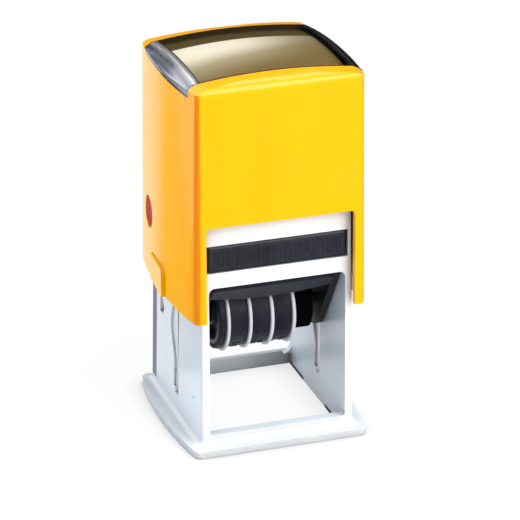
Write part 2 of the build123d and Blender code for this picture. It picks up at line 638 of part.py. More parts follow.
def panel():
    """The sloped front panel under the platen, with its bowed lower edge."""
    top = AXLE_Z + PLATEN_TOP
    foot = AXLE_Z - PANEL_FOOT_DROP
    thick = PANEL_THICK * 1.15
    outline = make_face(Polyline((-PLATEN_HALF_DEPTH, top), (-PLATEN_HALF_DEPTH, top - PLATEN_THICK),
                                 (-PANEL_FOOT_Y, foot), (-PANEL_FOOT_Y + thick, foot),
                                 (-PLATEN_HALF_DEPTH + thick, top), close=True))
    sheet = plate_x(outline, (-ARM_INNER, ARM_INNER))
    bow = ThreePointArc((-ARM_INNER, foot + PANEL_BOW), (0, foot), (ARM_INNER, foot + PANEL_BOW))
    below = Polyline(bow @ 1, (ARM_INNER, foot - 5), (-ARM_INNER, foot - 5), bow @ 0)
    return sheet - plate_y(make_face([bow, below]), (-FAR, FAR))


def carriage():
    """The black carriage that turns over: platen, two arms and two sloped panels."""
    top = AXLE_Z + PLATEN_TOP
    platen = block((-ARM_INNER, ARM_INNER), (-PLATEN_HALF_DEPTH, PLATEN_HALF_DEPTH),
                   (top - PLATEN_THICK, top))
    platen += both_sides(plate_x(arm_outline(), (ARM_INNER, ARM_OUTER)))
    front = panel()
    platen = platen + front + mirror(front, about=Plane.XZ)
    platen -= block(UNIT_SPAN, (-OPENING_Y, OPENING_Y), (top - PLATEN_THICK - 1, top + 1))
    platen -= rod_x(PIN_RADIUS + HINGE_CLEARANCE, (-FAR, FAR), 0, AXLE_Z)
    return platen - rod_x(SHAFT_RADIUS, (-FAR, FAR), 0, SHAFT_Z)


def flip_pin():
    """The right flip pin, fixed in the cap and turning in the carriage's arm."""
    pin = rod_x(PIN_RADIUS, (ARM_INNER + 0.1, pin_end()), 0, AXLE_Z)
    return chamfer(pin.edges().group_by(Axis.X)[0], 0.2)


def text_plate():
    """The backing plate stuck to the platen, open where the bands come through."""
    low = AXLE_Z + PLATEN_TOP
    plate = block((-DIE_HALF_WIDTH, DIE_HALF_WIDTH), (-DIE_HALF_DEPTH, DIE_HALF_DEPTH),
                  (low, low + BACKING_THICK))
    return plate - block(UNIT_SPAN, (-DIE_OPENING_Y, DIE_OPENING_Y), (low - 1, FACE_Z + 1))


def text_die():
    """The rubber printing face: a thin sheet with a raised border round a plain field."""
    low = AXLE_Z + PLATEN_TOP + BACKING_THICK
    outer = (DIE_HALF_WIDTH, DIE_HALF_DEPTH)
    inner = (DIE_HALF_WIDTH - DIE_BORDER, DIE_HALF_DEPTH - DIE_BORDER)
    die = block((-outer[0], outer[0]), (-outer[1], outer[1]), (low, FACE_Z))
    die -= block((-inner[0], inner[0]), (-inner[1], inner[1]), (low + DIE_BASE, FACE_Z + 1))
    return die - block(UNIT_SPAN, (-DIE_OPENING_Y, DIE_OPENING_Y), (low - 1, FACE_Z + 1))


# ---- Date unit ----------------------------------------------------------------------------------
def nose_z():
    """Height of the small nose that the bands turn over, at the printing face."""
    return FACE_Z - NOSE_OUTER


def cheek(hub, x):
    """One cheek of the band frame, held in the platen's opening and drawn in to its hub."""
    top = AXLE_Z + PLATEN_TOP
    low = top - PLATEN_THICK
    edge = Line((-OPENING_Y, low), (OPENING_Y, low))
    ring = CenterArc((0, SHAFT_Z), hub, 0, 360)
    held = block(x, (-OPENING_Y, OPENING_Y), (low, top))
    return held + plate_x(make_hull(edge.edges() + ring.edges()), x)


def band_frame():
    """The frame inside the bands: two cheeks, a boss and the bridge under the printed line."""
    low = AXLE_Z + PLATEN_TOP - PLATEN_THICK
    frame = cheek(LEFT_HUB, (UNIT_LEFT, UNIT_LEFT + CHEEK_THICK))
    frame += cheek(RIGHT_HUB, (UNIT_RIGHT - CHEEK_THICK, UNIT_RIGHT))
    frame += rod_x(RIGHT_HUB, (UNIT_RIGHT - RIGHT_BOSS, UNIT_RIGHT - CHEEK_THICK), 0, SHAFT_Z)
    frame += block(UNIT_SPAN, (-BRIDGE_HALF, BRIDGE_HALF), (low, nose_z()))
    frame += rod_x(BRIDGE_HALF, UNIT_SPAN, 0, nose_z())
    return frame - rod_x(SHAFT_RADIUS, (-FAR, FAR), 0, SHAFT_Z)


def wheel_shaft():
    """The shaft held in the carriage's two arms."""
    shaft = rod_x(SHAFT_RADIUS, (-ARM_OUTER, ARM_OUTER), 0, SHAFT_Z)
    return chamfer(shaft.edges().filter_by(GeomType.CIRCLE), 0.2)


def thumb_wheel(x, band_width):
    """A thumb wheel: a thin disc, the drum at its left that drives its band, and a hub."""
    face = (x - DISC_THICK / 2, x + DISC_THICK / 2)
    drum = (face[0] - BAND_GAP - band_width, face[0])
    radius = BAND_OUTER - BAND_THICK - DRUM_GAP
    disc = rod_x(DISC_RADIUS, face, 0, SHAFT_Z)
    disc = fillet(disc.edges().filter_by(GeomType.CIRCLE), DISC_EDGE)
    rim = rod_x(radius, drum, 0, SHAFT_Z) - rod_x(radius - DRUM_WALL, drum, 0, SHAFT_Z)
    hub = rod_x(WHEEL_HUB_RADIUS, drum, 0, SHAFT_Z)
    return disc + rim + hub - rod_x(SHAFT_RADIUS + HINGE_CLEARANCE, (-FAR, FAR), 0, SHAFT_Z)


def band_loop(shrink):
    """The outline of a band round its wheel and nose, drawn in by an amount."""
    wheel = CenterArc((0, SHAFT_Z), BAND_OUTER - shrink, 0, 360)
    nose = CenterArc((0, nose_z()), NOSE_OUTER - shrink, 0, 360)
    return make_hull(wheel.edges() + nose.edges())


def date_band(x, width):
    """The endless rubber band at the left of one disc, reaching up to the printing height."""
    right = x - DISC_THICK / 2 - BAND_GAP
    reach = (right - width, right)
    return plate_x(band_loop(0), reach) - plate_x(band_loop(BAND_THICK), reach)


# ---- Return spring ------------------------------------------------------------------------------
def return_spring():
    """The coil spring between the frame's deck and the cap's ceiling."""
    low = DECK_Z + WIRE / 2
    high = CREST_Z - SPRING_ROOF - WIRE / 2
    path = Pos(0, 0, low) * Helix((high - low) / COILS, high - low, SPRING_RADIUS)
    section = Plane(origin=path @ 0, z_dir=path % 0) * Circle(WIRE / 2)
    return sweep(section, path=path, is_frenet=True)


# ---- Write every sub-part -----------------------------------------------------------------------
def all_parts():
    """Every sub-part with its node name."""
    button = lock_button()
    pin = flip_pin()
    strips = back_corners(frame_walls()).solids().sort_by(Axis.X)
    parts = {
        "base_frame": base_frame(),
        "foot_front_right": foot_recess(FOOT_FRONT_Y),
        "foot_front_left": mirror(foot_recess(FOOT_FRONT_Y), about=Plane.YZ),
        "foot_back_right": foot_recess(FOOT_BACK_Y),
        "foot_back_left": mirror(foot_recess(FOOT_BACK_Y), about=Plane.YZ),
        "slide_strip_right": strips[-1],
        "slide_strip_left": strips[0],
        "cap_shell": cap_shell(),
        "index_window": index_window(),
        "index_card": index_card(),
        "lock_button_right": button,
        "lock_button_left": mirror(button, about=Plane.YZ),
        "return_spring": return_spring(),
        "pad_tray": pad_tray(),
        "ink_pad": ink_pad(),
        "carriage": carriage(),
        "flip_pin_right": pin,
        "flip_pin_left": mirror(pin, about=Plane.YZ),
        "text_plate": text_plate(),
        "text_die": text_die(),
        "band_frame": band_frame(),
        "wheel_shaft": wheel_shaft(),
    }
    for number, (disc_x, width) in enumerate(zip(DISC_XS, BAND_WIDTHS), start=1):
        parts[f"thumb_wheel_{number}"] = thumb_wheel(disc_x, width)
        parts[f"date_band_{number}"] = date_band(disc_x, width)
    return parts


def write_parts():
    """Write one STEP file for each sub-part."""
    os.makedirs("parts", exist_ok=True)
    for name, piece in all_parts().items():
        piece.label = name
        export_step(piece, f"parts/{name}.step")


write_parts()
print(f"axle {AXLE_Z:.2f}  skirt {SKIRT_Z:.2f}  frame top {FRAME_TOP:.2f}  crest {CREST_Z:.2f}")
print(f"swing {SWING:.2f}  die {DIE_HALF_WIDTH:.2f} x {DIE_HALF_DEPTH:.2f}  rise {die_rise():.2f}")
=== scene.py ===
"""A self-inking date stamp, dressed for a plain studio picture.

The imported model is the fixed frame. Each sub-assembly below is a class that holds its own sizes,
builds its detailed pieces on the frame's nodes and gives every surface its finish. All lengths are
metres, +Z is up and the front of the stamp faces -Y.
"""

import json
import logging
import math
from dataclasses import dataclass, field
from enum import Enum

import bmesh
import bpy
from bmesh.types import BMesh, BMFace, BMVert
from mathutils import Euler, Matrix, Vector

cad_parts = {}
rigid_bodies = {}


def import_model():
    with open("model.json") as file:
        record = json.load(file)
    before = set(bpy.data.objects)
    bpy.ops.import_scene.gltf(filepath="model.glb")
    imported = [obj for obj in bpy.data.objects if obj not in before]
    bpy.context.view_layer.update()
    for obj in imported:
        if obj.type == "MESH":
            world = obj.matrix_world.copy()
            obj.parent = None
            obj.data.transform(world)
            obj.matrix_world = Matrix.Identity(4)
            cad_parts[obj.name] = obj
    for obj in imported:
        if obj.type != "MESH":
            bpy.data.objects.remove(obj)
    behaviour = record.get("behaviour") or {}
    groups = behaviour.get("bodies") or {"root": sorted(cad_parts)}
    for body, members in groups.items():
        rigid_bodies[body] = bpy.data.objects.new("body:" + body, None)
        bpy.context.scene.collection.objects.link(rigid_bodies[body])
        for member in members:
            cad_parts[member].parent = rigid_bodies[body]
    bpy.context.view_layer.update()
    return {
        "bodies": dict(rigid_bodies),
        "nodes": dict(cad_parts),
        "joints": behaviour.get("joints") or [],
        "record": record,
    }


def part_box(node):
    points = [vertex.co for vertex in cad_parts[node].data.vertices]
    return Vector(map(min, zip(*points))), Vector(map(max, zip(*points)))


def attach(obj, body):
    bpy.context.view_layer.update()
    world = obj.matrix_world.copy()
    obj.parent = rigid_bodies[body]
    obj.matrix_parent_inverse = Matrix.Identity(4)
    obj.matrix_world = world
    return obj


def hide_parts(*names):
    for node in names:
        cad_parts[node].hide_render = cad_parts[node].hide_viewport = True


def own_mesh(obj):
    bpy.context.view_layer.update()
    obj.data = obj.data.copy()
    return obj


log = logging.getLogger("date_stamp")

MM = 0.001
Colour = tuple[float, float, float]
Point = Vector | tuple[float, float, float]
Socket = bpy.types.NodeSocket
SHARP = 35.0  # faces meeting at more than this angle, in degrees, keep a sharp edge
TOUCH = 0.0001 * MM  # points nearer to a cut than this lie on it


class Slot(Enum):
    """The record's material slots."""

    CAP = "yellow_cap"
    BODY = "white_body"
    STRIP = "strip_plastic"
    FOOT = "foot_rubber"
    WINDOW = "clear_window"
    CARD = "card"
    BUTTON = "red_button"
    SPRING = "spring_steel"
    TRAY = "dark_tray"
    PAD = "pad_foam"
    CARRIAGE = "black_carriage"
    STEEL = "pin_steel"
    BACKING = "backing"
    DIE = "die_rubber"
    WHEEL = "white_wheel"
    BAND = "band_rubber"


# ---- Shader graphs ----
class Value:
    """A node's output that takes part in sums; each sign adds one Math node."""

    def __init__(self, graph: "Graph", socket: Socket) -> None:
        """Keep the output and the graph that it is in."""
        self.graph = graph
        self.socket = socket

    def __add__(self, other: object) -> "Value":
        """This and another."""
        return self.graph.math("ADD", self, other)

    def __sub__(self, other: object) -> "Value":
        """This less another."""
        return self.graph.math("SUBTRACT", self, other)

    def __rsub__(self, other: float) -> "Value":
        """A number less this."""
        return self.graph.math("SUBTRACT", other, self)

    def __mul__(self, other: object) -> "Value":
        """This times another."""
        return self.graph.math("MULTIPLY", self, other)

    def __truediv__(self, other: object) -> "Value":
        """This divided by another."""
        return self.graph.math("DIVIDE", self, other)

    def __abs__(self) -> "Value":
        """This without its sign."""
        return self.graph.math("ABSOLUTE", self)


class Graph:
    """A short hand for adding nodes to one shader tree."""

    def __init__(self, tree: bpy.types.NodeTree) -> None:
        """Keep the tree."""
        self.tree = tree

    def node(self, kind: str, inputs: dict | None = None, **settings: object) -> bpy.types.Node:
        """Add a node.

        Args:
            kind: the node's type name; a shader node's goes without ShaderNode.
            inputs: socket name or index to a constant or to a Value.
            settings: the node's own properties.

        Returns:
            The new node.
        """
        made = self.tree.nodes.new(kind if kind.startswith("NodeGroup") else "ShaderNode" + kind)
        for name, value in settings.items():
            setattr(made, name, value)
        for key, value in (inputs or {}).items():
            self.feed(made.inputs[key], value)
        return made

    def take(self, kind: str, inputs: dict | None = None, output: int | str = 0,
            **settings: object) -> Value:
        """Add a node and take one of its outputs, by index or by name."""
        return Value(self, self.node(kind, inputs, **settings).outputs[output])

    def outputs(self, node: bpy.types.Node) -> dict[str, Value]:
        """All of a node's outputs by name."""
        return {socket.name: Value(self, socket) for socket in node.outputs}

    def feed(self, socket: Socket, value: object) -> None:
        """Link a Value to a socket, or set the socket's own constant.

        Args:
            socket: the input to fill.
            value: a Value or a constant.
        """
        if isinstance(value, Value):
            self.tree.links.new(value.socket, socket)
        else:
            socket.default_value = value

    def math(self, operation: str, *values: object, clamp: bool = False) -> Value:
        """A Math node's result; clamp keeps it from 0 to 1."""
        return self.take("Math", dict(enumerate(values)), operation=operation, use_clamp=clamp)

    def smooth(self, value: Value, low: float, high: float,
            to: tuple[float, float] = (0.0, 1.0)) -> Value:
        """A value eased from one range into another."""
        inputs = {0: value, 1: low, 2: high, 3: to[0], 4: to[1]}
        return self.take("MapRange", inputs, interpolation_type="SMOOTHSTEP")

    def noise(self, vector: Value, scale: object, detail: float = 3.0,
            rough: float = 0.55) -> Value:
        """A Noise texture's value."""
        inputs = {"Vector": vector, "Scale": scale, "Detail": detail, "Roughness": rough}
        return self.take("TexNoise", inputs)

    def stretched(self, vector: Value, scale: Colour, turn: Colour = (0.0, 0.0, 0.0)) -> Value:
        """Coordinates turned and stretched along the axes."""
        return self.take("Mapping", {"Vector": vector, "Scale": scale, "Rotation": turn})

    def split(self, vector: Value) -> tuple[Value, ...]:
        """A vector's X, Y and Z."""
        return tuple(self.outputs(self.node("SeparateXYZ", {0: vector})).values())

    def blend(self, factor: object, first: object, second: object) -> Value:
        """A colour mixed from two.

        Args:
            factor: share of the second, a constant or a Value.
            first: a colour or a Value.
            second: a colour or a Value.

        Returns:
            The mixed colour.
        """
        made = self.node("Mix", data_type="RGBA")
        self.feed(made.inputs[0], factor)
        for socket, value in ((made.inputs[6], first), (made.inputs[7], second)):
            self.feed(socket, value if isinstance(value, Value) else (*value, 1.0))
        return Value(self, made.outputs[2])

    def shade(self, colour: object, amount: object) -> Value:
        """A colour multiplied by a value."""
        return self.take("VectorMath", {0: colour, 1: amount}, operation="MULTIPLY")

    def seen(self) -> Value:
        """Mark rays from the camera and through gloss and glass.

        Returns:
            One for those rays, zero for all others.
        """
        rays = self.outputs(self.node("LightPath"))
        direct = self.math("MAXIMUM", rays["Is Camera Ray"], rays["Is Glossy Ray"])
        return self.math("MAXIMUM", direct, rays["Is Transmission Ray"])


@dataclass
class Effects:
    """The shader node groups that several finishes share, each built once."""

    made: dict[str, bpy.types.NodeTree] = field(default_factory=dict)

    def open(self, name: str, **inputs: float) -> tuple[Graph, Value, dict[str, Value]]:
        """Start a group with a Vector input and named value inputs.

        Args:
            name: the group's name.
            inputs: each value input with its usual value.

        Returns:
            The group's graph, its Vector and its inputs by name.
        """
        tree = bpy.data.node_groups.new(name, "ShaderNodeTree")
        tree.interface.new_socket("Vector", in_out="INPUT", socket_type="NodeSocketVector")
        for key, value in inputs.items():
            socket = tree.interface.new_socket(key, in_out="INPUT", socket_type="NodeSocketFloat")
            socket.default_value = value
        self.made[name] = tree
        graph = Graph(tree)
        given = graph.outputs(graph.node("NodeGroupInput"))
        return graph, given["Vector"], given

    def close(self, graph: Graph, **results: Value) -> None:
        """Give a group its outputs.

        Args:
            graph: the group's graph.
            results: each output's name and value.
        """
        for key in results:
            graph.tree.interface.new_socket(key, in_out="OUTPUT", socket_type="NodeSocketFloat")
        graph.node("NodeGroupOutput", results)

    def place(self, graph: Graph, name: str, vector: Value, **values: object) -> dict[str, Value]:
        """Put a group into a material.

        Args:
            graph: the material's graph.
            name: which group.
            vector: the coordinates or normal that it reads.
            values: the group's inputs by name.

        Returns:
            The group's outputs by name.
        """
        if name not in self.made:
            getattr(self, "build_" + name)()
        inputs = {"Vector": vector, **values}
        return graph.outputs(graph.node("Group", inputs, node_tree=self.made[name]))

    def build_mould_skin(self) -> None:
        """Moulded plastic's skin: a fine spark grain, slow flow clouds and finger smears."""
        g, where, given = self.open("mould_skin", Grain=2600.0, Clouds=60.0)
        fine = g.noise(where, given["Grain"], 2.0, 0.6)
        slow = g.noise(where, given["Clouds"], 2.0, 0.5)
        flow = g.noise(g.stretched(where, (1.0, 1.0, 0.25)), given["Clouds"], 3.0, 0.6)
        self.close(g, Height=fine * 0.35 + slow, Tone=g.smooth(flow, 0.3, 0.7),
            Smear=g.smooth(g.noise(where, 140.0, 4.0, 0.65), 0.35, 0.75))

    def build_hairlines(self) -> None:
        """Short fine scratches in three directions, as a mask."""
        g, where, given = self.open("hairlines", Amount=0.5)
        total = None
        for scale, turn in (((900.0, 30.0, 60.0), 0.4), ((40.0, 60.0, 1000.0), 1.1),
                ((60.0, 950.0, 40.0), 2.3)):
            turned = g.stretched(where, scale, (turn, turn, 0.3))
            line = g.smooth(g.noise(turned, 1.0, 1.0, 0.5), 0.68, 0.74)
            total = g.math("MAXIMUM", total, line) if total else line
        patches = g.smooth(g.noise(where, 90.0, 2.0), 0.45, 0.65)
        self.close(g, Mask=total * patches * given["Amount"])

    def build_settled_dust(self) -> None:
        """Dust on upward faces, as a mask; it reads the object's normal and its coordinates."""
        g, where, given = self.open("settled_dust", Amount=0.2)
        up = g.smooth(g.split(g.take("TexCoord", output="Normal"))[2], 0.45, 1.0)
        specks = g.smooth(g.noise(where, 1500.0, 2.0, 0.7), 0.5, 0.75)
        film = g.smooth(g.noise(where, 120.0, 3.0, 0.6), 0.3, 0.8)
        lying = up * (specks * 0.6 + film * 0.4)
        self.close(g, Mask=g.math("MULTIPLY", lying, given["Amount"], clamp=True))

    def build_facing(self) -> None:
        """How far a surface faces sideways, how far up, and where a front corner turns, as masks
        that place painted shade.
        """
        g, where, _ = self.open("facing")
        x, y, z = g.split(where)
        softness = 0.6
        masks = {}
        for name, value in (("Side", abs(x)), ("Up", z)):
            share = g.math("DIVIDE", value - (1.0 - softness), softness, clamp=True)
            masks[name] = g.smooth(share, 0.0, 1.0)
        # Painted shade: the front-left corner takes the full shaded colour, the front-right one
        # less.
        aside = g.math("MAXIMUM", x * -1.0, x * 0.4)
        ahead = g.math("MAXIMUM", y * -1.0, 0.0)
        self.close(g, **masks, Corner=g.smooth(aside * ahead, 0.06, 0.34))

    def build_edge_rub(self) -> None:
        """Where an outer edge has been rubbed, as a mask."""
        g, where, given = self.open("edge_rub", Width=0.0004, Amount=1.0)
        rounded = g.take("Bevel", {"Radius": given["Width"]}, samples=4)
        flat = g.take("NewGeometry", output="Normal")
        dot = g.take("VectorMath", {0: rounded, 1: flat}, "Value", operation="DOT_PRODUCT")
        patchy = g.smooth(g.noise(where, 700.0, 3.0, 0.7), 0.35, 0.7)
        edge = g.smooth(1.0 - dot, 0.01, 0.25) * patchy
        self.close(g, Mask=g.math("MULTIPLY", edge, given["Amount"], clamp=True))

    def build_corner_painted_shade(self) -> None:
        """Where inner corners and hollows lie in shade, from ambient occlusion, as a mask for
        painted shade.
        """
        g, where, given = self.open("corner_painted_shade", Reach=0.008, Amount=0.3)
        open_sky = g.take("AmbientOcclusion", {"Distance": given["Reach"]}, "AO", samples=6)
        cloudy = g.smooth(g.noise(where, 160.0, 3.0, 0.6), 0.1, 0.7, (0.8, 1.0))
        closed = g.smooth(open_sky, 0.95, 0.15) * cloudy
        self.close(g, Mask=g.math("MULTIPLY", closed, given["Amount"], clamp=True))

    def build_fine_lines(self) -> None:
        """Even parallel lines across a surface, as a height; the vector's X counts them."""
        g, where, given = self.open("fine_lines", Pitch=0.0004)
        across = g.split(where)[0]
        self.close(g, Height=g.math("SINE", across * (2 * math.pi) / given["Pitch"]))

    def build_open_foam(self) -> None:
        """Open foam's cells, as a height and a tone."""
        g, where, _ = self.open("open_foam")
        cells = g.take("TexVoronoi", {"Vector": where, "Scale": 2200.0}, "Distance")
        self.close(g, Height=g.smooth(cells, 0.1, 0.7), Tone=g.noise(where, 260.0, 4.0, 0.7))


class MaterialSheet(Graph):
    """One material under construction, with its shader and coordinates ready."""

    def __init__(self, name: str, effects: Effects) -> None:
        """Start the material.

        Args:
            name: the material's name.
            effects: the shared node groups.
        """
        self.material = bpy.data.materials.new(name)
        self.material.use_nodes = True
        super().__init__(self.material.node_tree)
        self.effects = effects
        self.shader = self.tree.nodes["Principled BSDF"]
        self.own = Value(self, self.shader.outputs[0])
        coords = self.outputs(self.node("TexCoord"))
        self.where = coords["Object"]
        self.facing = coords["Normal"]

    def effect(self, name: str, vector: Value | None = None, **values: object) -> dict[str, Value]:
        """Place a shared effect, on the object's coordinates unless told otherwise."""
        return self.effects.place(self, name, vector or self.where, **values)

    def cover(self, base: Value, name: str, colour: Colour, **values: object) -> Value:
        """A colour laid over another where an effect's mask says so."""
        return self.blend(self.effect(name, **values)["Mask"], base, colour)

    def set(self, **values: object) -> None:
        """Set or link the shader's sockets by name, with spaces written as underscores.

        Args:
            values: each socket with a constant, a colour or a Value.
        """
        for key, value in values.items():
            if isinstance(value, tuple):
                value = (*value, 1.0)
            self.feed(self.shader.inputs[key.replace("_", " ")], value)

    def bump(self, height: Value, strength: float, depth: float) -> None:
        """Feed a height of about 0 to 1 to the surface; depth is its size in metres."""
        inputs = {"Height": height, "Strength": strength, "Distance": depth}
        self.set(Normal=self.take("Bump", inputs))

    def mix_surface(self, factor: Value, first: Value, second: Value) -> None:
        """Show a mix of two shaders as the surface."""
        mixed = self.take("MixShader", {0: factor, 1: first, 2: second})
        self.feed(self.tree.nodes["Material Output"].inputs["Surface"], mixed)


# ---- Finishes ----
@dataclass(frozen=True)
class Finish:
    """How a surface looks and its slot in the record; each kind puts its material together."""

    name: str
    slot: Slot | None

    def make(self, effects: Effects) -> bpy.types.Material:
        """Build the material.

        Args:
            effects: the shared node groups.

        Returns:
            The material.
        """
        g = MaterialSheet(self.name, effects)
        self.dress(g)
        return g.material

    def dress(self, g: MaterialSheet) -> None:
        """Add the finish's own nodes to its sheet."""
        raise NotImplementedError


@dataclass(frozen=True)
class Moulding(Finish):
    """Injection-moulded plastic: grain, clouds, smears, hairlines, rubbed edges and dust, with
    painted shade on its sides, tops, front corners and inner corners.
    """

    colour: Colour
    roughness: float
    rub: Colour
    # The side, top and corner colours are painted shade and light: lit and shaded copies of the
    # plastic's colour for surfaces that face sideways, face up or turn a front corner.
    side: Colour | None = None
    top: Colour | None = None
    depth: float = 0.004 * MM
    clouds: float = 0.05
    shine: float = 0.5
    coat: float = 0.0
    coat_roughness: float = 0.06
    hairlines: float = 0.25
    dust: float = 0.05
    dust_colour: Colour = (0.62, 0.6, 0.56)
    rubbed: float = 0.35
    # This amount, its reach and its colour paint shade into inner corners and hollows from ambient
    # occlusion.
    painted_shade: float = 0.0
    painted_shade_reach: float = 8.0 * MM
    crevice: float = 0.5 * MM
    painted_shade_colour: Colour = (0.3, 0.34, 0.4)
    corner: Colour | None = None
    core_height: float = 0.0
    core_radius: float = 0.0
    core_edge: float = 0.1 * MM
    core: Colour = (0.012, 0.012, 0.016)

    def dress(self, g: MaterialSheet) -> None:
        """Lay painted shade by facing direction, then core, clouds, rubbed edges, dust, painted
        shade in inner corners and gloss.

        Args:
            g: the material to dress.
        """
        skin = g.effect("mould_skin")
        turned = g.effect("facing", g.facing)
        # Painted shade: sides, tops and front corners take their own lit or shaded colours.
        base = g.blend(turned["Side"], self.colour, self.side or self.colour)
        base = g.blend(turned["Up"], base, self.top or self.colour)
        if self.corner:
            base = g.blend(turned["Corner"], base, self.corner)
        if self.core_radius:
            _, y, z = g.split(g.where)
            up = z - self.core_height
            spread = g.math("SQRT", y * y + up * up)
            inside = g.smooth(spread, self.core_radius + self.core_edge, self.core_radius)
            base = g.blend(inside, base, self.core)
        tones = (1.0 - self.clouds, 1.0 + self.clouds * 0.4)
        base = g.shade(base, g.smooth(skin["Tone"], 0.0, 1.0, tones))
        base = g.cover(base, "edge_rub", self.rub, Amount=self.rubbed)
        base = g.cover(base, "settled_dust", self.dust_colour, Amount=self.dust)
        # Painted shade: inner corners and hollows darkened from ambient occlusion, over a wide and
        # a narrow reach.
        if self.painted_shade:
            for reach, share in ((self.painted_shade_reach, 1.0), (self.crevice, 1.2)):
                amount = self.painted_shade * share
                base = g.cover(base, "corner_painted_shade", self.painted_shade_colour, Amount=amount, Reach=reach)
        lines = g.effect("hairlines", Amount=self.hairlines)["Mask"]
        rough = g.math("ADD", skin["Smear"] * 0.07 + self.roughness, lines * 0.2, clamp=True)
        g.set(Base_Color=base, Roughness=rough, IOR=1.5, Coat_Weight=self.coat,
            Coat_Roughness=self.coat_roughness, Specular_IOR_Level=self.shine)
        g.bump(skin["Height"] - lines, 0.5, self.depth)


@dataclass(frozen=True)
class Rubber(Finish):
    """Moulded rubber, matt, with a faint bloom and fine lines where it has them."""

    colour: Colour
    bloom: Colour
    roughness: float = 0.62
    line_pitch: float = 0.0
    depth: float = 0.01 * MM
    shine: float = 0.3

    def dress(self, g: MaterialSheet) -> None:
        """Lay the bloom and the dust, then the lines.

        Args:
            g: the material to dress.
        """
        skin = g.effect("mould_skin", Grain=3400.0, Clouds=220.0)
        base = g.blend(skin["Tone"] * 0.5, self.colour, self.bloom)
        base = g.cover(base, "edge_rub", self.bloom, Amount=0.5, Width=0.25 * MM)
        base = g.cover(base, "settled_dust", (0.5, 0.5, 0.5), Amount=0.12)
        rough = g.smooth(skin["Smear"], 0.0, 1.0, (self.roughness - 0.08, self.roughness + 0.1))
        g.set(Base_Color=base, Roughness=rough, IOR=1.45, Specular_IOR_Level=self.shine)
        height = skin["Height"]
        if self.line_pitch:
            height = g.effect("fine_lines", Pitch=self.line_pitch)["Height"] + height * 0.5
        g.bump(height, 0.6, self.depth)


@dataclass(frozen=True)
class Steel(Finish):
    """Drawn or turned steel wire and pins."""

    colour: Colour
    roughness: float = 0.28

    def dress(self, g: MaterialSheet) -> None:
        """Lay the drawn grain over a faintly clouded metal.

        Args:
            g: the material to dress.
        """
        skin = g.effect("mould_skin", Grain=4200.0, Clouds=300.0)
        drawn = g.noise(g.stretched(g.where, (120.0, 2500.0, 2500.0)), 1.0)
        base = g.blend(skin["Tone"] * 0.35, self.colour, (0.33, 0.32, 0.31))
        rough = g.smooth(drawn, 0.25, 0.75, (self.roughness - 0.08, self.roughness + 0.14))
        g.set(Base_Color=base, Roughness=rough, Metallic=1.0)
        g.bump(drawn, 0.35, 0.006 * MM)


@dataclass(frozen=True)
class InkedFoam(Finish):
    """An ink-soaked foam pad."""

    colour: Colour
    dry: Colour

    def dress(self, g: MaterialSheet) -> None:
        """Lay wet and dry patches over the foam's cells.

        Args:
            g: the material to dress.
        """
        foam = g.effect("open_foam")
        base = g.blend(g.smooth(foam["Tone"], 0.35, 0.65), self.colour, self.dry)
        g.set(Base_Color=base, Roughness=g.smooth(foam["Tone"], 0.3, 0.7, (0.42, 0.85)))
        g.bump(foam["Height"], 0.9, 0.08 * MM)


@dataclass(frozen=True)
class ClearSheet(Finish):
    """A clear, faintly smoky plastic window with hairlines, see-through to its card."""

    tint: Colour
    ior: float = 1.5
    roughness: float = 0.12

    def dress(self, g: MaterialSheet) -> None:
        """Mix a mirror at the front faces with a plain see-through tint.

        Args:
            g: the material to dress.
        """
        lines = g.effect("hairlines", Amount=0.6)["Mask"]
        skin = g.effect("mould_skin", Grain=900.0, Clouds=30.0)
        g.set(Base_Color=(0.9, 0.9, 0.9), Roughness=lines * 0.25 + self.roughness, Metallic=1.0)
        g.bump(skin["Height"], 0.15, 0.01 * MM)
        through = g.take("BsdfTransparent", {"Color": (*self.tint, 1.0)})
        behind = g.take("NewGeometry", output="Backfacing")
        mirror = g.take("Fresnel", {"IOR": self.ior}) * (1.0 - behind)
        g.mix_surface(mirror, through, g.own)


@dataclass(frozen=True)
class GradedCard(Finish):
    """The card under the window: coated paper whose tone is painted reflection, a pale highlight at
    the back fading darker to the front and right, with a dark band of painted reflection along the
    back.
    """

    # The pale, middle and deep tones are painted reflection, and so is the dark band at the back.
    pale: Colour
    middle: Colour
    deep: Colour
    rear_reflection: Colour
    rear_reflection_from: float
    front: float
    half_width: float
    slant: float = 0.22
    rear_reflection_bow: float = 1.5
    rear_reflection_fade: float = 0.5 * MM

    def dress(self, g: MaterialSheet) -> None:
        """Grade the painted reflection, pale at the back and dark to the front and right, then lay
        the dark band at the back and the fibres.

        Args:
            g: the material to dress.
        """
        x, y, _ = g.split(g.where)
        fibre = g.noise(g.where, 1800.0, 4.0, 0.6)
        tone = g.smooth(y - x * self.slant, self.front, self.rear_reflection_from)
        base = g.blend(g.smooth(tone, 0.0, 0.55), self.deep, self.middle)
        base = g.blend(g.smooth(tone, 0.45, 1.0), base, self.pale)
        right = g.smooth(x, -0.2 * self.half_width, self.half_width)
        base = g.blend(right * 0.8, base, self.deep)
        # Painted reflection: the dark band along the back.
        edge = y + x * x * self.rear_reflection_bow
        band = g.smooth(edge, self.rear_reflection_from, self.rear_reflection_from + self.rear_reflection_fade)
        base = g.blend(band, base, self.rear_reflection)
        base = g.shade(base, g.smooth(fibre, 0.2, 0.8, (0.95, 1.03)))
        g.set(Base_Color=base, Roughness=g.smooth(fibre, 0.2, 0.8, (0.42, 0.6)))
        g.bump(fibre, 0.25, 0.008 * MM)


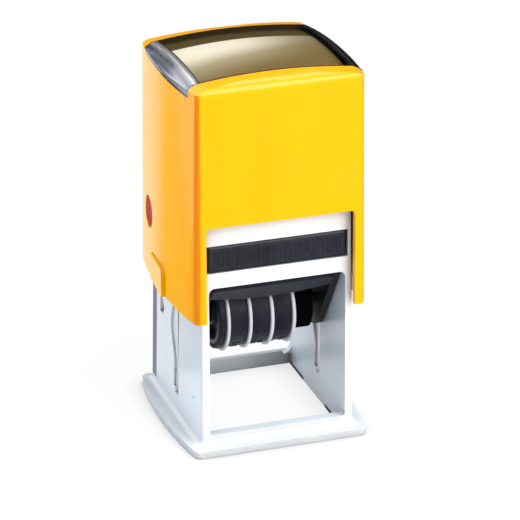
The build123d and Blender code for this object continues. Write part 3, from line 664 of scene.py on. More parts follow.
@dataclass(frozen=True)
class PaintedReflectionFilm(Finish):
    """A thin metallic film on the window's shoulders whose streaks are painted reflections, dimmer
    on the right one as painted shade.
    """

    # The streaks are painted reflections of the window's curved shoulders.
    reflection_streaks: tuple[tuple[float, Colour], ...]
    inner: float
    outer: float
    front: float
    back: float
    # The right shoulder's share of brightness, a painted shade.
    right: float = 0.12

    def dress(self, g: MaterialSheet) -> None:
        """Colour the painted reflection streaks by their distance from the middle, then grade them
        as painted light and grain them.

        Args:
            g: the material to dress.
        """
        x, y, _ = g.split(g.where)
        wander = g.noise(g.stretched(g.where, (60.0, 60.0, 60.0)), 1.0, 2.0, 0.5)
        across = g.take("MapRange", {0: abs(x), 1: self.inner, 2: self.outer})
        ramp = g.node("ValToRGB", {0: across + (wander - 0.5) * 0.06})
        stops = ramp.color_ramp.elements
        for position, _ in self.reflection_streaks[2:]:
            stops.new(position)
        for stop, (position, colour) in zip(stops, self.reflection_streaks):
            stop.position = position
            stop.color = (*colour, 1.0)
        grain = g.noise(g.stretched(g.where, (900.0, 14.0, 900.0)), 1.0, 2.0, 0.5)
        # Painted light: brighter towards the back, and the right shoulder dimmed as painted shade.
        along = g.smooth(y, self.back, self.front, (1.2, 0.85))
        dim = g.smooth(x, self.inner, -self.inner, (self.right, 1.0))
        light = along * dim * g.smooth(grain, 0.3, 0.7, (0.8, 1.1))
        base = g.shade(Value(g, ramp.outputs[0]), light)
        g.set(Base_Color=base, Roughness=g.smooth(grain, 0.3, 0.7, (0.16, 0.3)), Metallic=0.6)
        g.bump(grain, 0.3, 0.01 * MM)


@dataclass(frozen=True)
class BlackCloth(Finish):
    """Dull black cloth."""

    def dress(self, g: MaterialSheet) -> None:
        """Set the plain values."""
        g.set(Base_Color=(0.01, 0.01, 0.01), Roughness=1.0, Specular_IOR_Level=0.0)


@dataclass(frozen=True)
class FloorPaper(Finish):
    """White paper with a soft shadow painted in near the stamp, over the lamps' own shadow, that
    goes white further off.
    """

    opening: tuple[float, float] = (17.3 * MM, 19.5 * MM)
    opening_middle: float = 1.95 * MM
    inner_share: float = 0.4
    contact: float = 0.01
    darkest: float = 0.6
    glow: float = 0.94
    fade: tuple[float, float] = (0.07, 0.14)
    colour: Colour = (0.93, 0.93, 0.93)

    def dress(self, g: MaterialSheet) -> None:
        """Paint shade into the paper where it touches the stamp, less so inside the base's opening.

        Args:
            g: the material to dress.
        """
        distance = g.take("VectorMath", {0: g.where}, "Value", operation="LENGTH")
        open_sky = g.take("AmbientOcclusion", {"Distance": self.contact}, "AO")
        x, y, _ = g.split(g.where)
        across = g.math("GREATER_THAN", abs(x), self.opening[0])
        along = g.math("GREATER_THAN", abs(y - self.opening_middle), self.opening[1])
        share = g.math("MAXIMUM", across, along) * (1.0 - self.inner_share) + self.inner_share
        # Painted shadow: ambient occlusion darkens the paper's colour near the stamp.
        closed = g.take("MapRange", {0: open_sky, 1: 0.45, 2: 1.0, 3: self.darkest, 4: 0.0})
        near = 1.0 - closed * share
        g.set(Base_Color=g.shade(near, self.colour), Roughness=0.9, Specular_IOR_Level=0.1)
        far = g.smooth(distance, *self.fade, (self.glow, 1.0)) * near
        white = g.take("Emission", {"Color": (1.0, 1.0, 1.0, 1.0), "Strength": 1.0})
        g.mix_surface(far * g.seen(), g.own, white)


# ---- Meshes ----
def add_object(name: str, data: bpy.types.ID) -> bpy.types.Object:
    """Make an object round its data and put it in the scene.

    Args:
        name: the object's name.
        data: a mesh, curve, lamp or camera.

    Returns:
        The object.
    """
    made = bpy.data.objects.new(name, data)
    bpy.context.scene.collection.objects.link(made)
    return made


def settle(bm: BMesh, name: str) -> bpy.types.Mesh:
    """Turn a mesh under construction into mesh data, and free it.

    Args:
        bm: the mesh.
        name: the mesh data's name.

    Returns:
        The mesh data.
    """
    mesh = bpy.data.meshes.new(name)
    bm.to_mesh(mesh)
    bm.free()
    return mesh


def add_box(bm: BMesh, low: Point, high: Point) -> list[BMVert]:
    """Add a box between two corners.

    Args:
        bm: the mesh.
        low: the lowest corner.
        high: the highest corner.

    Returns:
        The box's vertices.
    """
    size = [h - l for l, h in zip(low, high)]
    middle = [(h + l) / 2 for l, h in zip(low, high)]
    place = Matrix.Translation(middle) @ Matrix.Diagonal((*size, 1.0))
    return bmesh.ops.create_cube(bm, size=1.0, matrix=place)["verts"]


def cut(bm: BMesh, faces: list[BMFace], place: Point, way: Point) -> list[BMFace]:
    """Cut some faces along a plane.

    Args:
        bm: the mesh.
        faces: the faces to cut.
        place: a point on the plane.
        way: the plane's normal.

    Returns:
        The faces that they have become.
    """
    parts = [*{v for f in faces for v in f.verts}, *{e for f in faces for e in f.edges}, *faces]
    made = bmesh.ops.bisect_plane(bm, geom=parts, dist=TOUCH, plane_co=place, plane_no=way)["geom"]
    return list({f for f in made if isinstance(f, BMFace)})


@dataclass
class Bench:
    """What the sub-assemblies share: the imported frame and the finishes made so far."""

    frame: dict
    effects: Effects = field(default_factory=Effects)
    finishes: dict[str, bpy.types.Material] = field(default_factory=dict)

    def finish(self, look: Finish) -> bpy.types.Material:
        """The material of a finish, built the first time that it is asked for.

        Args:
            look: the finish.

        Returns:
            Its material.
        """
        if look.name not in self.finishes:
            self.finishes[look.name] = look.make(self.effects)
        return self.finishes[look.name]


@dataclass
class Assembly:
    """A sub-assembly, whose pieces ride on its own body unless told otherwise."""

    bench: Bench
    body: str = "frame"

    def merged(self, node: str) -> BMesh:
        """A copy of a CAD node's mesh, with doubles merged and flat triangles joined.

        Args:
            node: the CAD node.

        Returns:
            The copy.
        """
        bm = bmesh.new()
        bm.from_mesh(self.bench.frame["nodes"][node].data)
        bmesh.ops.remove_doubles(bm, verts=bm.verts, dist=0.001 * MM)
        flat = math.radians(0.4)
        bmesh.ops.dissolve_limit(bm, angle_limit=flat, verts=bm.verts, edges=bm.edges)
        return bm

    def soften(self, bm: BMesh, width: float, segments: int = 2, sharp: float = 28.0) -> None:
        """Round every sharp edge of a mesh.

        Args:
            bm: the mesh.
            width: how wide each rounded edge is.
            segments: how many faces go round it.
            sharp: the smallest angle between two faces, in degrees, that gets rounded.
        """
        least = math.radians(sharp)
        edges = [e for e in bm.edges if e.is_manifold and e.calc_face_angle(0.0) > least]
        bmesh.ops.bevel(bm, geom=edges, offset=width, offset_type="OFFSET", affect="EDGES",
            segments=segments, profile=0.5, material=-1, clamp_overlap=True, loop_slide=True)

    def piece(self, bm: BMesh, name: str, look: Finish, stands_for: tuple[str, ...] = (),
            weigh: bool = True, body: str = "") -> bpy.types.Object:
        """Turn a mesh into a piece that rides on a body.

        Args:
            bm: the finished mesh, in place.
            name: the piece's name.
            look: its finish.
            stands_for: the CAD nodes that it replaces.
            weigh: let large faces decide the shading of their corners.
            body: the body it moves with, if not the assembly's own.

        Returns:
            The piece.
        """
        for face in bm.faces:
            face.smooth = True
        mesh = settle(bm, name)
        mesh.set_sharp_from_angle(angle=math.radians(SHARP))
        made = add_object(name, mesh)
        if weigh:
            made.modifiers.new("even_shading", "WEIGHTED_NORMAL").keep_sharp = True
        mesh.materials.append(self.bench.finish(look))
        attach(made, body or self.body)
        if stands_for:
            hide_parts(*stands_for)
        log.info("%s: %d faces on %s", name, len(mesh.polygons), body or self.body)
        return made

    def rounded(self, node: str, look: Finish, width: float, segments: int = 2, sharp: float = 28.0,
            body: str = "") -> bpy.types.Object:
        """A CAD node again with its sharp edges rounded.

        Args:
            node: the CAD node.
            look: its finish.
            width: how wide each rounded edge is; segments and sharp are also those of soften.
            body: the body it moves with, if not the assembly's own.

        Returns:
            The piece.
        """
        bm = self.merged(node)
        self.soften(bm, width, segments, sharp)
        return self.piece(bm, node + "_skin", look, (node,), body=body)


# ---- The frame that stands on the paper ----
@dataclass
class StandingFrame(Assembly):
    """The white frame, its slide strips and its rubber feet."""

    edge: float = 0.28 * MM
    strip_edge: float = 0.15 * MM
    foot_edge: float = 0.12 * MM
    dot_radius: float = 0.36 * MM
    dot_rise: float = 0.12 * MM
    dot_root: float = 0.3 * MM
    dot_sides: int = 16
    dot_taper: float = 0.8
    dot_spots: tuple[tuple[float, float], ...] = ((2.4, 12.0), (-13.5, 12.0), (14.5, 34.0))
    wall_inset: float = 4.0 * MM
    wall_draft: float = 0.0175
    inner_wall: float = 17.218 * MM
    opening_front: float = -17.2 * MM
    lip_rise: float = 0.08 * MM
    lip_root: float = 0.1 * MM
    lip_height: float = 0.8 * MM
    # Painted shade: the side and top colours shade the white, and its inner corners are darkened.
    plastic: Moulding = Moulding("white_moulding", Slot.BODY, (0.9, 0.9, 0.91), 0.3,
        (0.93, 0.93, 0.93), (0.64, 0.72, 0.81), (0.8, 0.87, 0.93), clouds=0.03, coat=0.2,
        coat_roughness=0.12, rubbed=0.2, painted_shade=0.7, painted_shade_reach=11.0 * MM,
        painted_shade_colour=(0.12, 0.135, 0.17))
    # Painted light: the side and top colours are lighter than the front's.
    strip: Moulding = Moulding("strip_moulding", Slot.STRIP, (0.13, 0.13, 0.15), 0.45,
        (0.3, 0.3, 0.32), (0.16, 0.165, 0.19), (0.16, 0.165, 0.19))
    rubber: Rubber = Rubber("foot_rubber", Slot.FOOT, (0.02, 0.02, 0.023), (0.06, 0.06, 0.065))

    def build(self) -> None:
        """Build every piece of the frame."""
        self.rounded("base_frame", self.plastic, self.edge)
        for side in ("right", "left"):
            self.rounded(f"slide_strip_{side}", self.strip, self.strip_edge)
            for end in ("front", "back"):
                self.rounded(f"foot_{end}_{side}", self.rubber, self.foot_edge)
        self.ejector_dots()
        self.foot_lips()

    def foot_lips(self) -> None:
        """The foot strips' edges, which show low on the side walls inside the opening."""
        bm = bmesh.new()
        for end in ("front", "back"):
            low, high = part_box(f"foot_{end}_right")
            front = max(low.y, self.opening_front)
            for sign in (-1, 1):
                reach = (self.inner_wall - self.lip_rise, self.inner_wall + self.lip_root)
                left, right = sorted(sign * x for x in reach)
                add_box(bm, (left, front, 0.0), (right, high.y, self.lip_height))
        self.piece(bm, "foot_lips", self.rubber, weigh=False)

    def ejector_dots(self) -> None:
        """The small round marks that the mould's pins leave beside each slot."""
        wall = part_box("base_frame")[1].x - self.wall_inset
        bm = bmesh.new()
        for sign in (-1, 1):
            for y, z in self.dot_spots:
                outside = (wall - z * MM * self.wall_draft) * sign
                middle = outside + (self.dot_rise - self.dot_root) / 2 * sign
                place = Matrix.Translation((middle, y * MM, z * MM))
                bmesh.ops.create_cone(bm, cap_ends=True, segments=self.dot_sides,
                    radius1=self.dot_radius, radius2=self.dot_radius * self.dot_taper,
                    depth=self.dot_root + self.dot_rise,
                    matrix=place @ Matrix.Rotation(sign * math.pi / 2, 4, "Y"))
        self.piece(bm, "ejector_dots", self.plastic)


# ---- The cap ----
@dataclass
class Cap(Assembly):
    """The yellow cap with its window, card, films, lock buttons and flip pins."""

    body: str = "cap"
    edge: float = 0.3 * MM
    window_edge: float = 0.15 * MM
    card_edge: float = 0.05 * MM
    button_edge: float = 0.25 * MM
    pin_edge: float = 0.1 * MM
    corner_side: float = 21.6 * MM
    corner_step: float = 0.45 * MM
    corner_cuts: int = 6
    corner_passes: int = 30
    level_step: float = 3.0 * MM
    levels: int = 18
    front_depth: float = 4 * MM
    side_from: float = 19.5 * MM
    seam_width: float = 0.55 * MM
    film_inset: float = 0.04 * MM
    film_lap: float = 0.3 * MM
    film_thickness: float = 0.02 * MM
    film_centre_drop: float = 25.0 * MM
    # Depth of the dark band of painted reflection at the card's back.
    rear_reflection_depth: float = 7.4 * MM
    # Painted reflection: streaks of light and dark that the window's curved shoulders would mirror.
    reflection_streaks: tuple[tuple[float, Colour], ...] = (
        (0.0, (0.02, 0.02, 0.018)), (0.1, (0.42, 0.43, 0.45)), (0.3, (0.72, 0.74, 0.78)),
        (0.45, (0.3, 0.33, 0.4)), (0.58, (0.13, 0.15, 0.2)), (0.75, (0.32, 0.35, 0.46)),
        (0.93, (0.2, 0.22, 0.32)), (1.0, (0.03, 0.03, 0.025)),
    )
    # Painted shade: the side, top and front-corner colours are shaded copies of the yellow, and its
    # inner corners are darkened.
    plastic: Moulding = Moulding("yellow_moulding", Slot.CAP, (1.0, 0.5, 0.0), 0.17,
        (1.0, 0.66, 0.1), (1.0, 0.49, 0.025), (0.95, 0.43, 0.003), depth=0.0012 * MM, clouds=0.03,
        shine=0.25, rubbed=0.15, hairlines=0.1, painted_shade=0.5, painted_shade_reach=3.0 * MM,
        painted_shade_colour=(0.55, 0.2, 0.0), corner=(0.8, 0.24, 0.002))
    window: ClearSheet = ClearSheet("window_sheet", Slot.WINDOW, (0.97, 0.96, 0.93))
    # Painted shade: the side colour is darker than the front's.
    edge_film: Moulding = Moulding("edge_film", Slot.CARD, (0.05, 0.032, 0.006), 0.5,
        (0.05, 0.04, 0.03), (0.02, 0.02, 0.025), shine=0.2)
    # Painted light: the side colour is a little lighter than the front's.
    button: Moulding = Moulding("button_moulding", Slot.BUTTON, (0.45, 0.02, 0.035), 0.35,
        (0.7, 0.15, 0.15), (0.47, 0.022, 0.038), clouds=0.08, shine=0.1)
    steel: Steel = Steel("pin_steel", Slot.STEEL, (0.62, 0.62, 0.64))

    def build(self) -> None:
        """Build every piece of the cap."""
        self.shell()
        self.rounded("index_window", self.window, self.window_edge)
        self.card()
        self.window_films()
        for side in ("right", "left"):
            self.rounded(f"lock_button_{side}", self.button, self.button_edge, 3, 40.0,
                f"lock_{side}")
            self.rounded(f"flip_pin_{side}", self.steel, self.pin_edge)

    def card(self) -> None:
        """The card, with painted reflection: a dark band at the back and a graded field."""
        low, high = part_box("index_card")
        # Painted reflection: pale, middle and deep tones and the dark band at the back.
        look = GradedCard("graded_card", Slot.CARD, (1.0, 0.96, 0.87), (0.42, 0.355, 0.22),
            (0.19, 0.135, 0.045), (0.09, 0.058, 0.01), high.y - self.rear_reflection_depth, low.y, high.x)
        self.rounded("index_card", look, self.card_edge)

    def outside(self, face: BMFace, front: float) -> bool:
        """Whether a face is on the outside of the cap's front or of one of its sides.

        Args:
            face: the face.
            front: y of the cap's front.

        Returns:
            True for such a face.
        """
        spot, way = face.calc_center_median(), face.normal
        if way.y < -0.2 and spot.y < front + self.front_depth:
            return True
        return abs(way.x) > 0.9 and way.x * spot.x > 0 and abs(spot.x) > self.side_from

    def shell(self) -> None:
        """The cap's shell, with its two front corners eased to a rounder line."""
        bm = self.merged("cap_shell")
        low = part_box("cap_shell")[0]
        outer = [f for f in bm.faces if self.outside(f, low.y)]
        for number in range(1, self.corner_cuts + 1):
            outer = cut(bm, outer, (0, low.y + number * self.corner_step, 0), (0, 1, 0))
        for number in range(self.corner_cuts + 1):
            for side in (-1, 1):
                x = side * (self.corner_side - number * self.corner_step)
                outer = cut(bm, outer, (x, 0, 0), (1, 0, 0))
        for number in range(1, self.levels + 1):
            outer = cut(bm, outer, (0, 0, low.z + number * self.level_step), (0, 0, 1))
        skin = set(outer)
        reach = self.corner_step * self.corner_cuts
        near = [v for v in {v for f in outer for v in f.verts}
                if v.co.y < low.y + reach and abs(v.co.x) > self.corner_side - reach
                and (set(v.link_faces) <= skin or v.co.z < low.z + 0.01 * MM)]
        for _ in range(self.corner_passes):
            bmesh.ops.smooth_vert(bm, verts=near, factor=0.5, use_axis_x=True, use_axis_y=True,
                use_axis_z=False)
        self.soften(bm, self.edge, 3)
        self.piece(bm, "cap_shell_skin", self.plastic, ("cap_shell",))

    def window_films(self) -> None:
        """The metallic film with painted reflections on the window's shoulders, inside and out, and
        the rim's dark seam.
        """
        low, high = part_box("index_card")
        middle = Vector(((low.x + high.x) / 2, (low.y + high.y) / 2, low.z - self.film_centre_drop))
        left, right = low.x + self.film_lap, high.x - self.film_lap
        front, back = low.y + self.film_lap, high.y - self.film_lap
        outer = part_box("index_window")[1].x
        painted_reflection = PaintedReflectionFilm("painted_reflection_film", Slot.CARD, self.reflection_streaks, right, outer, low.y, high.y)
        for name, look in (("window_reflection_film", painted_reflection), ("window_seam", self.edge_film)):
            dark = look is self.edge_film
            bm = self.merged("index_window")
            tops = [f for f in bm.faces if abs(f.normal.y) < 0.9 and f.normal.z > -0.95
                    and f.normal.dot(f.calc_center_median() - middle) > 0]
            rim = bmesh.ops.inset_region(bm, faces=tops, thickness=self.seam_width,
                use_boundary=True, use_even_offset=True)["faces"]
            if dark:
                bmesh.ops.delete(bm, geom=[f for f in tops if f.is_valid], context="FACES")
            rim = {f for f in rim if f.is_valid}
            for place, way in (((left, 0, 0), (1, 0, 0)), ((right, 0, 0), (1, 0, 0)),
                    ((0, front, 0), (0, 1, 0)), ((0, back, 0), (0, 1, 0))):
                cut(bm, [f for f in bm.faces if f not in rim], place, way)
                rim = {f for f in rim if f.is_valid}
            for vert in bm.verts:
                vert.co -= vert.normal * self.film_inset
            drop = []
            for face in bm.faces:
                spot = face.calc_center_median()
                inside = left < spot.x < right
                end = abs(face.normal.y) > 0.9 or inside and not front < spot.y < back
                keep = dark if face in rim or end else not (dark or inside)
                if not keep:
                    drop.append(face)
            bmesh.ops.delete(bm, geom=drop, context="FACES")
            bmesh.ops.solidify(bm, geom=bm.faces[:], thickness=self.film_thickness)
            self.piece(bm, name, look, weigh=False)


# ---- The ink tray ----
@dataclass
class InkTray(Assembly):
    """The slide-out tray with its ribbed ends, and the foam pad in it."""

    edge: float = 0.18 * MM
    rib_pitch: float = 0.62 * MM
    rib_width: float = 0.34 * MM
    rib_rise: float = 0.2 * MM
    rib_root: float = 0.1 * MM
    rib_edge: float = 0.1 * MM
    side_margin: float = 1.3 * MM
    edge_margin: float = 1.0 * MM
    pad_cuts: int = 14
    pad_roll: float = 0.7 * MM
    pad_edge: float = 0.3 * MM
    # Painted shade and light: the side colour is darker and the top colour lighter than the
    # front's.
    plastic: Moulding = Moulding("tray_moulding", Slot.TRAY, (0.026, 0.028, 0.042), 0.42,
        (0.1, 0.105, 0.12), (0.02, 0.021, 0.028), (0.04, 0.042, 0.05), clouds=0.2, shine=0.35,
        rubbed=0.6, dust=0.12)
    foam: InkedFoam = InkedFoam("inked_foam", Slot.PAD, (0.008, 0.008, 0.02), (0.03, 0.03, 0.06))

    def build(self) -> None:
        """Build the tray, its ribs and its pad."""
        self.rounded("pad_tray", self.plastic, self.edge)
        self.ribs()
        self.pad()

    def ribs(self) -> None:
        """The upright finger ribs on the tray's front and back ends."""
        low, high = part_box("pad_tray")
        count = int((high.x - low.x - 2 * self.side_margin) / self.rib_pitch)
        bm = bmesh.new()
        for number in range(count + 1):
            x = (number - count / 2) * self.rib_pitch
            for y, sign in ((low.y, -1), (high.y, 1)):
                near, far = sorted((y - sign * self.rib_root, y + sign * self.rib_rise))
                add_box(bm, (x - self.rib_width / 2, near, low.z + self.edge_margin),
                    (x + self.rib_width / 2, far, high.z - self.edge_margin))
        outer = [e for e in bm.edges if all(not low.y < v.co.y < high.y for v in e.verts)]
        bmesh.ops.bevel(bm, geom=outer, offset=self.rib_edge, affect="EDGES", segments=1,
            profile=0.5, material=-1)
        self.piece(bm, "tray_ribs", self.plastic, weigh=False)

    def pad(self) -> None:
        """The foam pad: a block whose lower edges are rolled in."""
        low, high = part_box("ink_pad")
        bm = bmesh.new()
        add_box(bm, low, high)
        bmesh.ops.subdivide_edges(bm, edges=bm.edges, cuts=self.pad_cuts, use_grid_fill=True)
        middle = (low + high) / 2
        half = (high - low) / 2
        for vert in bm.verts:
            if vert.co.z < middle.z:
                across = 1 - ((vert.co.x - middle.x) / half.x) ** 2
                along = 1 - ((vert.co.y - middle.y) / half.y) ** 2
                vert.co.z += (1 - math.sqrt(max(across * along, 0.0))) ** 3 * self.pad_roll
        self.soften(bm, self.pad_edge, 2, 50.0)
        made = self.piece(bm, "ink_pad_foam", self.foam, ("ink_pad",))


# ---- The carriage that turns over ----
@dataclass
class Carriage(Assembly):
    """The black platen with its arms and panels, the backing plate, the die and the shaft."""

    body: str = "carriage"
    edge: float = 0.22 * MM
    frame_edge: float = 0.15 * MM
    plate_edge: float = 0.12 * MM
    die_edge: float = 0.1 * MM
    shaft_edge: float = 0.1 * MM
    # Painted shade: the side colour is darker than the front's, and inner corners are darkened.
    plastic: Moulding = Moulding("carriage_moulding", Slot.CARRIAGE, (0.02, 0.021, 0.032), 0.4,
        (0.07, 0.075, 0.09), (0.01, 0.0105, 0.015), (0.02, 0.021, 0.03), clouds=0.15, shine=0.15,
        rubbed=0.4, dust=0.1, painted_shade=0.7, painted_shade_colour=(0.002, 0.002, 0.003))
    # Painted light: the top colour is lighter than the rest.
    frame_plastic: Moulding = Moulding("band_frame_moulding", Slot.CARRIAGE, (0.003, 0.003, 0.004),
        0.55, (0.02, 0.02, 0.025), top=(0.006, 0.006, 0.008), clouds=0.2, shine=0.0)
    backing: Moulding = Moulding("backing_moulding", Slot.BACKING, (0.1, 0.1, 0.11), 0.5,
        (0.2, 0.2, 0.2))
    die: Rubber = Rubber("die_rubber", Slot.DIE, (0.15, 0.065, 0.07), (0.24, 0.12, 0.12))
    steel: Steel = Steel("shaft_steel", Slot.STEEL, (0.4, 0.4, 0.42))

    def build(self) -> None:
        """Build every piece of the carriage."""
        self.rounded("carriage", self.plastic, self.edge)
        self.rounded("band_frame", self.frame_plastic, self.frame_edge)
        self.rounded("text_plate", self.backing, self.plate_edge)
        self.rounded("text_die", self.die, self.die_edge)
        self.rounded("wheel_shaft", self.steel, self.shaft_edge)


# ---- The date unit ----
@dataclass
class BandPath:
    """The line that a date band follows round its wheel and its nose, seen from the side."""

    wheel_z: float
    wheel_radius: float
    nose_z: float
    nose_radius: float

    @property
    def span(self) -> float:
        """Distance from the wheel's centre to the nose's centre."""
        return self.nose_z - self.wheel_z

    @property
    def lean(self) -> float:
        """The straight runs' lean from upright, in radians."""
        return math.asin((self.wheel_radius - self.nose_radius) / self.span)

    @property
    def wheel_arc(self) -> float:
        """Length of the band round half of the wheel, up to a straight run."""
        return self.wheel_radius * (math.pi / 2 + self.lean)

    @property
    def run(self) -> float:
        """Length of a straight run."""
        return self.span * math.cos(self.lean)

    @property
    def half_length(self) -> float:
        """Length of the band from the bottom of the wheel to the top of the nose."""
        return self.wheel_arc + self.run + self.nose_radius * (math.pi / 2 - self.lean)

    def at(self, travel: float) -> tuple[Vector, Vector]:
        """A place on the band and the direction that faces out of it.

        Args:
            travel: distance along the band from the wheel's bottom; negative goes up the front.

        Returns:
            The point and the outward direction, both with x at zero.
        """
        side = 1.0 if travel >= 0 else -1.0
        left = abs(travel)
        centre, radius, past = self.wheel_z, self.wheel_radius, 0.0
        if left < self.wheel_arc:
            angle = left / radius
        elif left < self.wheel_arc + self.run:
            angle, past = math.pi / 2 + self.lean, left - self.wheel_arc
        else:
            centre, radius = self.nose_z, self.nose_radius
            angle = math.pi / 2 + self.lean + (left - self.wheel_arc - self.run) / radius
        out = Vector((0, math.sin(angle), -math.cos(angle)))
        point = Vector((0, 0, centre)) + out * radius + Vector((0, -out.z, out.y)) * past
        return Vector((0, point.y * side, point.z)), Vector((0, out.y * side, out.z))

    def depth(self, y: float, z: float) -> tuple[float, Vector]:
        """How far a point is outside the band's line, and the outward direction there.

        Args:
            y: the point's y.
            z: the point's z.

        Returns:
            The distance, negative inside, and the direction.
        """
        flat = Vector((abs(y), z - self.wheel_z))
        out = Vector((math.cos(self.lean), math.sin(self.lean)))
        along = flat.dot(Vector((-out.y, out.x)))
        if along < 0:
            found, out = flat.length - self.wheel_radius, flat.normalized()
        elif along > self.run:
            flat -= Vector((0, self.span))
            found, out = flat.length - self.nose_radius, flat.normalized()
        else:
            found = flat.dot(out) - self.wheel_radius
        return found, Vector((0, out.x if y >= 0 else -out.x, out.y))


@dataclass
class DateUnit(Assembly):
    """The four thumb wheels with their knurled rims and the four date bands with raised figures."""

    body: str = "carriage"
    wheel_edge: float = 0.06 * MM
    band_edge: float = 0.15 * MM
    teeth: int = 84
    tooth_rise: float = 0.07 * MM
    tooth_root: float = 0.2 * MM
    tooth_half: float = 0.14 * MM
    tooth_inset: float = 0.22 * MM
    rim_depth: float = 0.5 * MM
    figure_rise: float = 0.15 * MM
    figure_height: float = 3.7 * MM
    band_skin: float = 0.3 * MM
    nose_radius: float = 2.2 * MM
    # Painted shade: the side colour is darker than the rest, and inner corners are darkened.
    plastic: Moulding = Moulding("wheel_moulding", Slot.WHEEL, (0.74, 0.76, 0.79), 0.3,
        (0.85, 0.85, 0.86), (0.62, 0.66, 0.7), clouds=0.06, painted_shade=0.5, painted_shade_reach=4.0 * MM,
        painted_shade_colour=(0.2, 0.21, 0.24), core_height=27.8 * MM, core_radius=8.5 * MM)
    rubber: Rubber = Rubber("band_rubber", Slot.BAND, (0.01, 0.0105, 0.018), (0.028, 0.031, 0.046),
        0.5, 0.42 * MM, 0.012 * MM, 0.2)
    figures: tuple[tuple[str, ...], ...] = (
        tuple("012301230123"),
        tuple("012345678901"),
        tuple(f"{month:02d}" for month in range(1, 13)),
        tuple(f"{year:02d}" for year in range(26, 38)),
    )

    def build(self) -> None:
        """Build the wheels and the bands."""
        for number in range(1, 5):
            self.wheel(number)
            self.band(number)

    def wheel(self, number: int) -> None:
        """A thumb wheel and the fine teeth round its rim.

        Args:
            number: which wheel.
        """
        node, body = f"thumb_wheel_{number}", f"wheel_{number}"
        self.rounded(node, self.plastic, self.wheel_edge, body=body)
        low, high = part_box(node)
        radius = (high.y - low.y) / 2
        middle = Vector((0, 0, (low.z + high.z) / 2))
        rim = [v.co.x for v in self.bench.frame["nodes"][node].data.vertices
               if math.hypot(v.co.y, v.co.z - middle.z) > radius - self.rim_depth]
        left, right = min(rim) + self.tooth_inset, max(rim) - self.tooth_inset
        bm = bmesh.new()
        for step in range(self.teeth):
            verts = add_box(bm, (left, -self.tooth_half, radius - self.tooth_root),
                (right, self.tooth_half, radius + self.tooth_rise))
            turn = Matrix.Rotation(2 * math.pi * step / self.teeth, 4, "X")
            bmesh.ops.transform(bm, matrix=Matrix.Translation(middle) @ turn, verts=verts)
        self.piece(bm, f"wheel_teeth_{number}", self.plastic, weigh=False, body=body)

    def band(self, number: int) -> None:
        """A date band drawn in a little, with its figures standing up to the printing height.

        Args:
            number: which band.
        """
        node = f"date_band_{number}"
        low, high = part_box(node)
        radius = (high.y - low.y) / 2
        path = BandPath(low.z + radius, radius, high.z - self.nose_radius, self.nose_radius)
        bm = self.merged(node)
        for vert in bm.verts:
            out, direction = path.depth(vert.co.y, vert.co.z)
            if out > -self.band_skin:
                vert.co -= direction * self.figure_rise
        self.soften(bm, self.band_edge, 2, 40.0)
        self.piece(bm, node + "_skin", self.rubber, (node,))
        self.raised_figures(number, path, (low.x + high.x) / 2, high.x - low.x)

    def raised_figures(self, number: int, path: BandPath, x: float, width: float) -> None:
        """The mirrored figures that stand up from one band.

        Args:
            number: which band.
            path: the line that the band's outside follows.
            x: the band's middle.
            width: the band's width.
        """
        signs = self.figures[number - 1]
        pitch = 2 * path.half_length / len(signs)
        bm = bmesh.new()
        for place, sign in enumerate(signs):
            figure = self.figure_mesh(sign, min(width * 0.72, self.figure_height * 0.9))
            start = place * pitch - path.half_length
            for vert in figure.vertices:
                travel = start + vert.co.y
                if travel < -path.half_length:
                    travel += 2 * path.half_length
                point, out = path.at(travel)
                lift = (vert.co.z - 1.0) * self.figure_rise
                vert.co = Vector((x - vert.co.x, 0, 0)) + point + out * lift
            figure.flip_normals()
            bm.from_mesh(figure)
            bpy.data.meshes.remove(figure)
        bmesh.ops.recalc_face_normals(bm, faces=bm.faces)
        self.piece(bm, f"band_figures_{number}", self.rubber, weigh=False)

    def figure_mesh(self, sign: str, width: float) -> bpy.types.Mesh:
        """One figure as a mesh, centred, its height in Y and its thickness from 0 to 1 in Z.

        Args:
            sign: the figure or figures.
            width: the most that it may be wide.

        Returns:
            The mesh.
        """
        curve = bpy.data.curves.new("figure", "FONT")
        curve.body = sign
        curve.resolution_u = 2
        curve.extrude = 0.5
        holder = add_object("figure", curve)
        bpy.context.view_layer.update()
        mesh = bpy.data.meshes.new_from_object(holder)
        bpy.data.objects.remove(holder)
        bpy.data.curves.remove(curve)
        xs = [v.co.x for v in mesh.vertices]
        ys = [v.co.y for v in mesh.vertices]
        middle = Vector(((max(xs) + min(xs)) / 2, (max(ys) + min(ys)) / 2, 0.0))
        scale = min(width / (max(xs) - min(xs)), self.figure_height / (max(ys) - min(ys)))
        for vert in mesh.vertices:
            spot = (vert.co - middle) * scale
            vert.co = Vector((spot.x, spot.y, vert.co.z + 0.5))
        return mesh


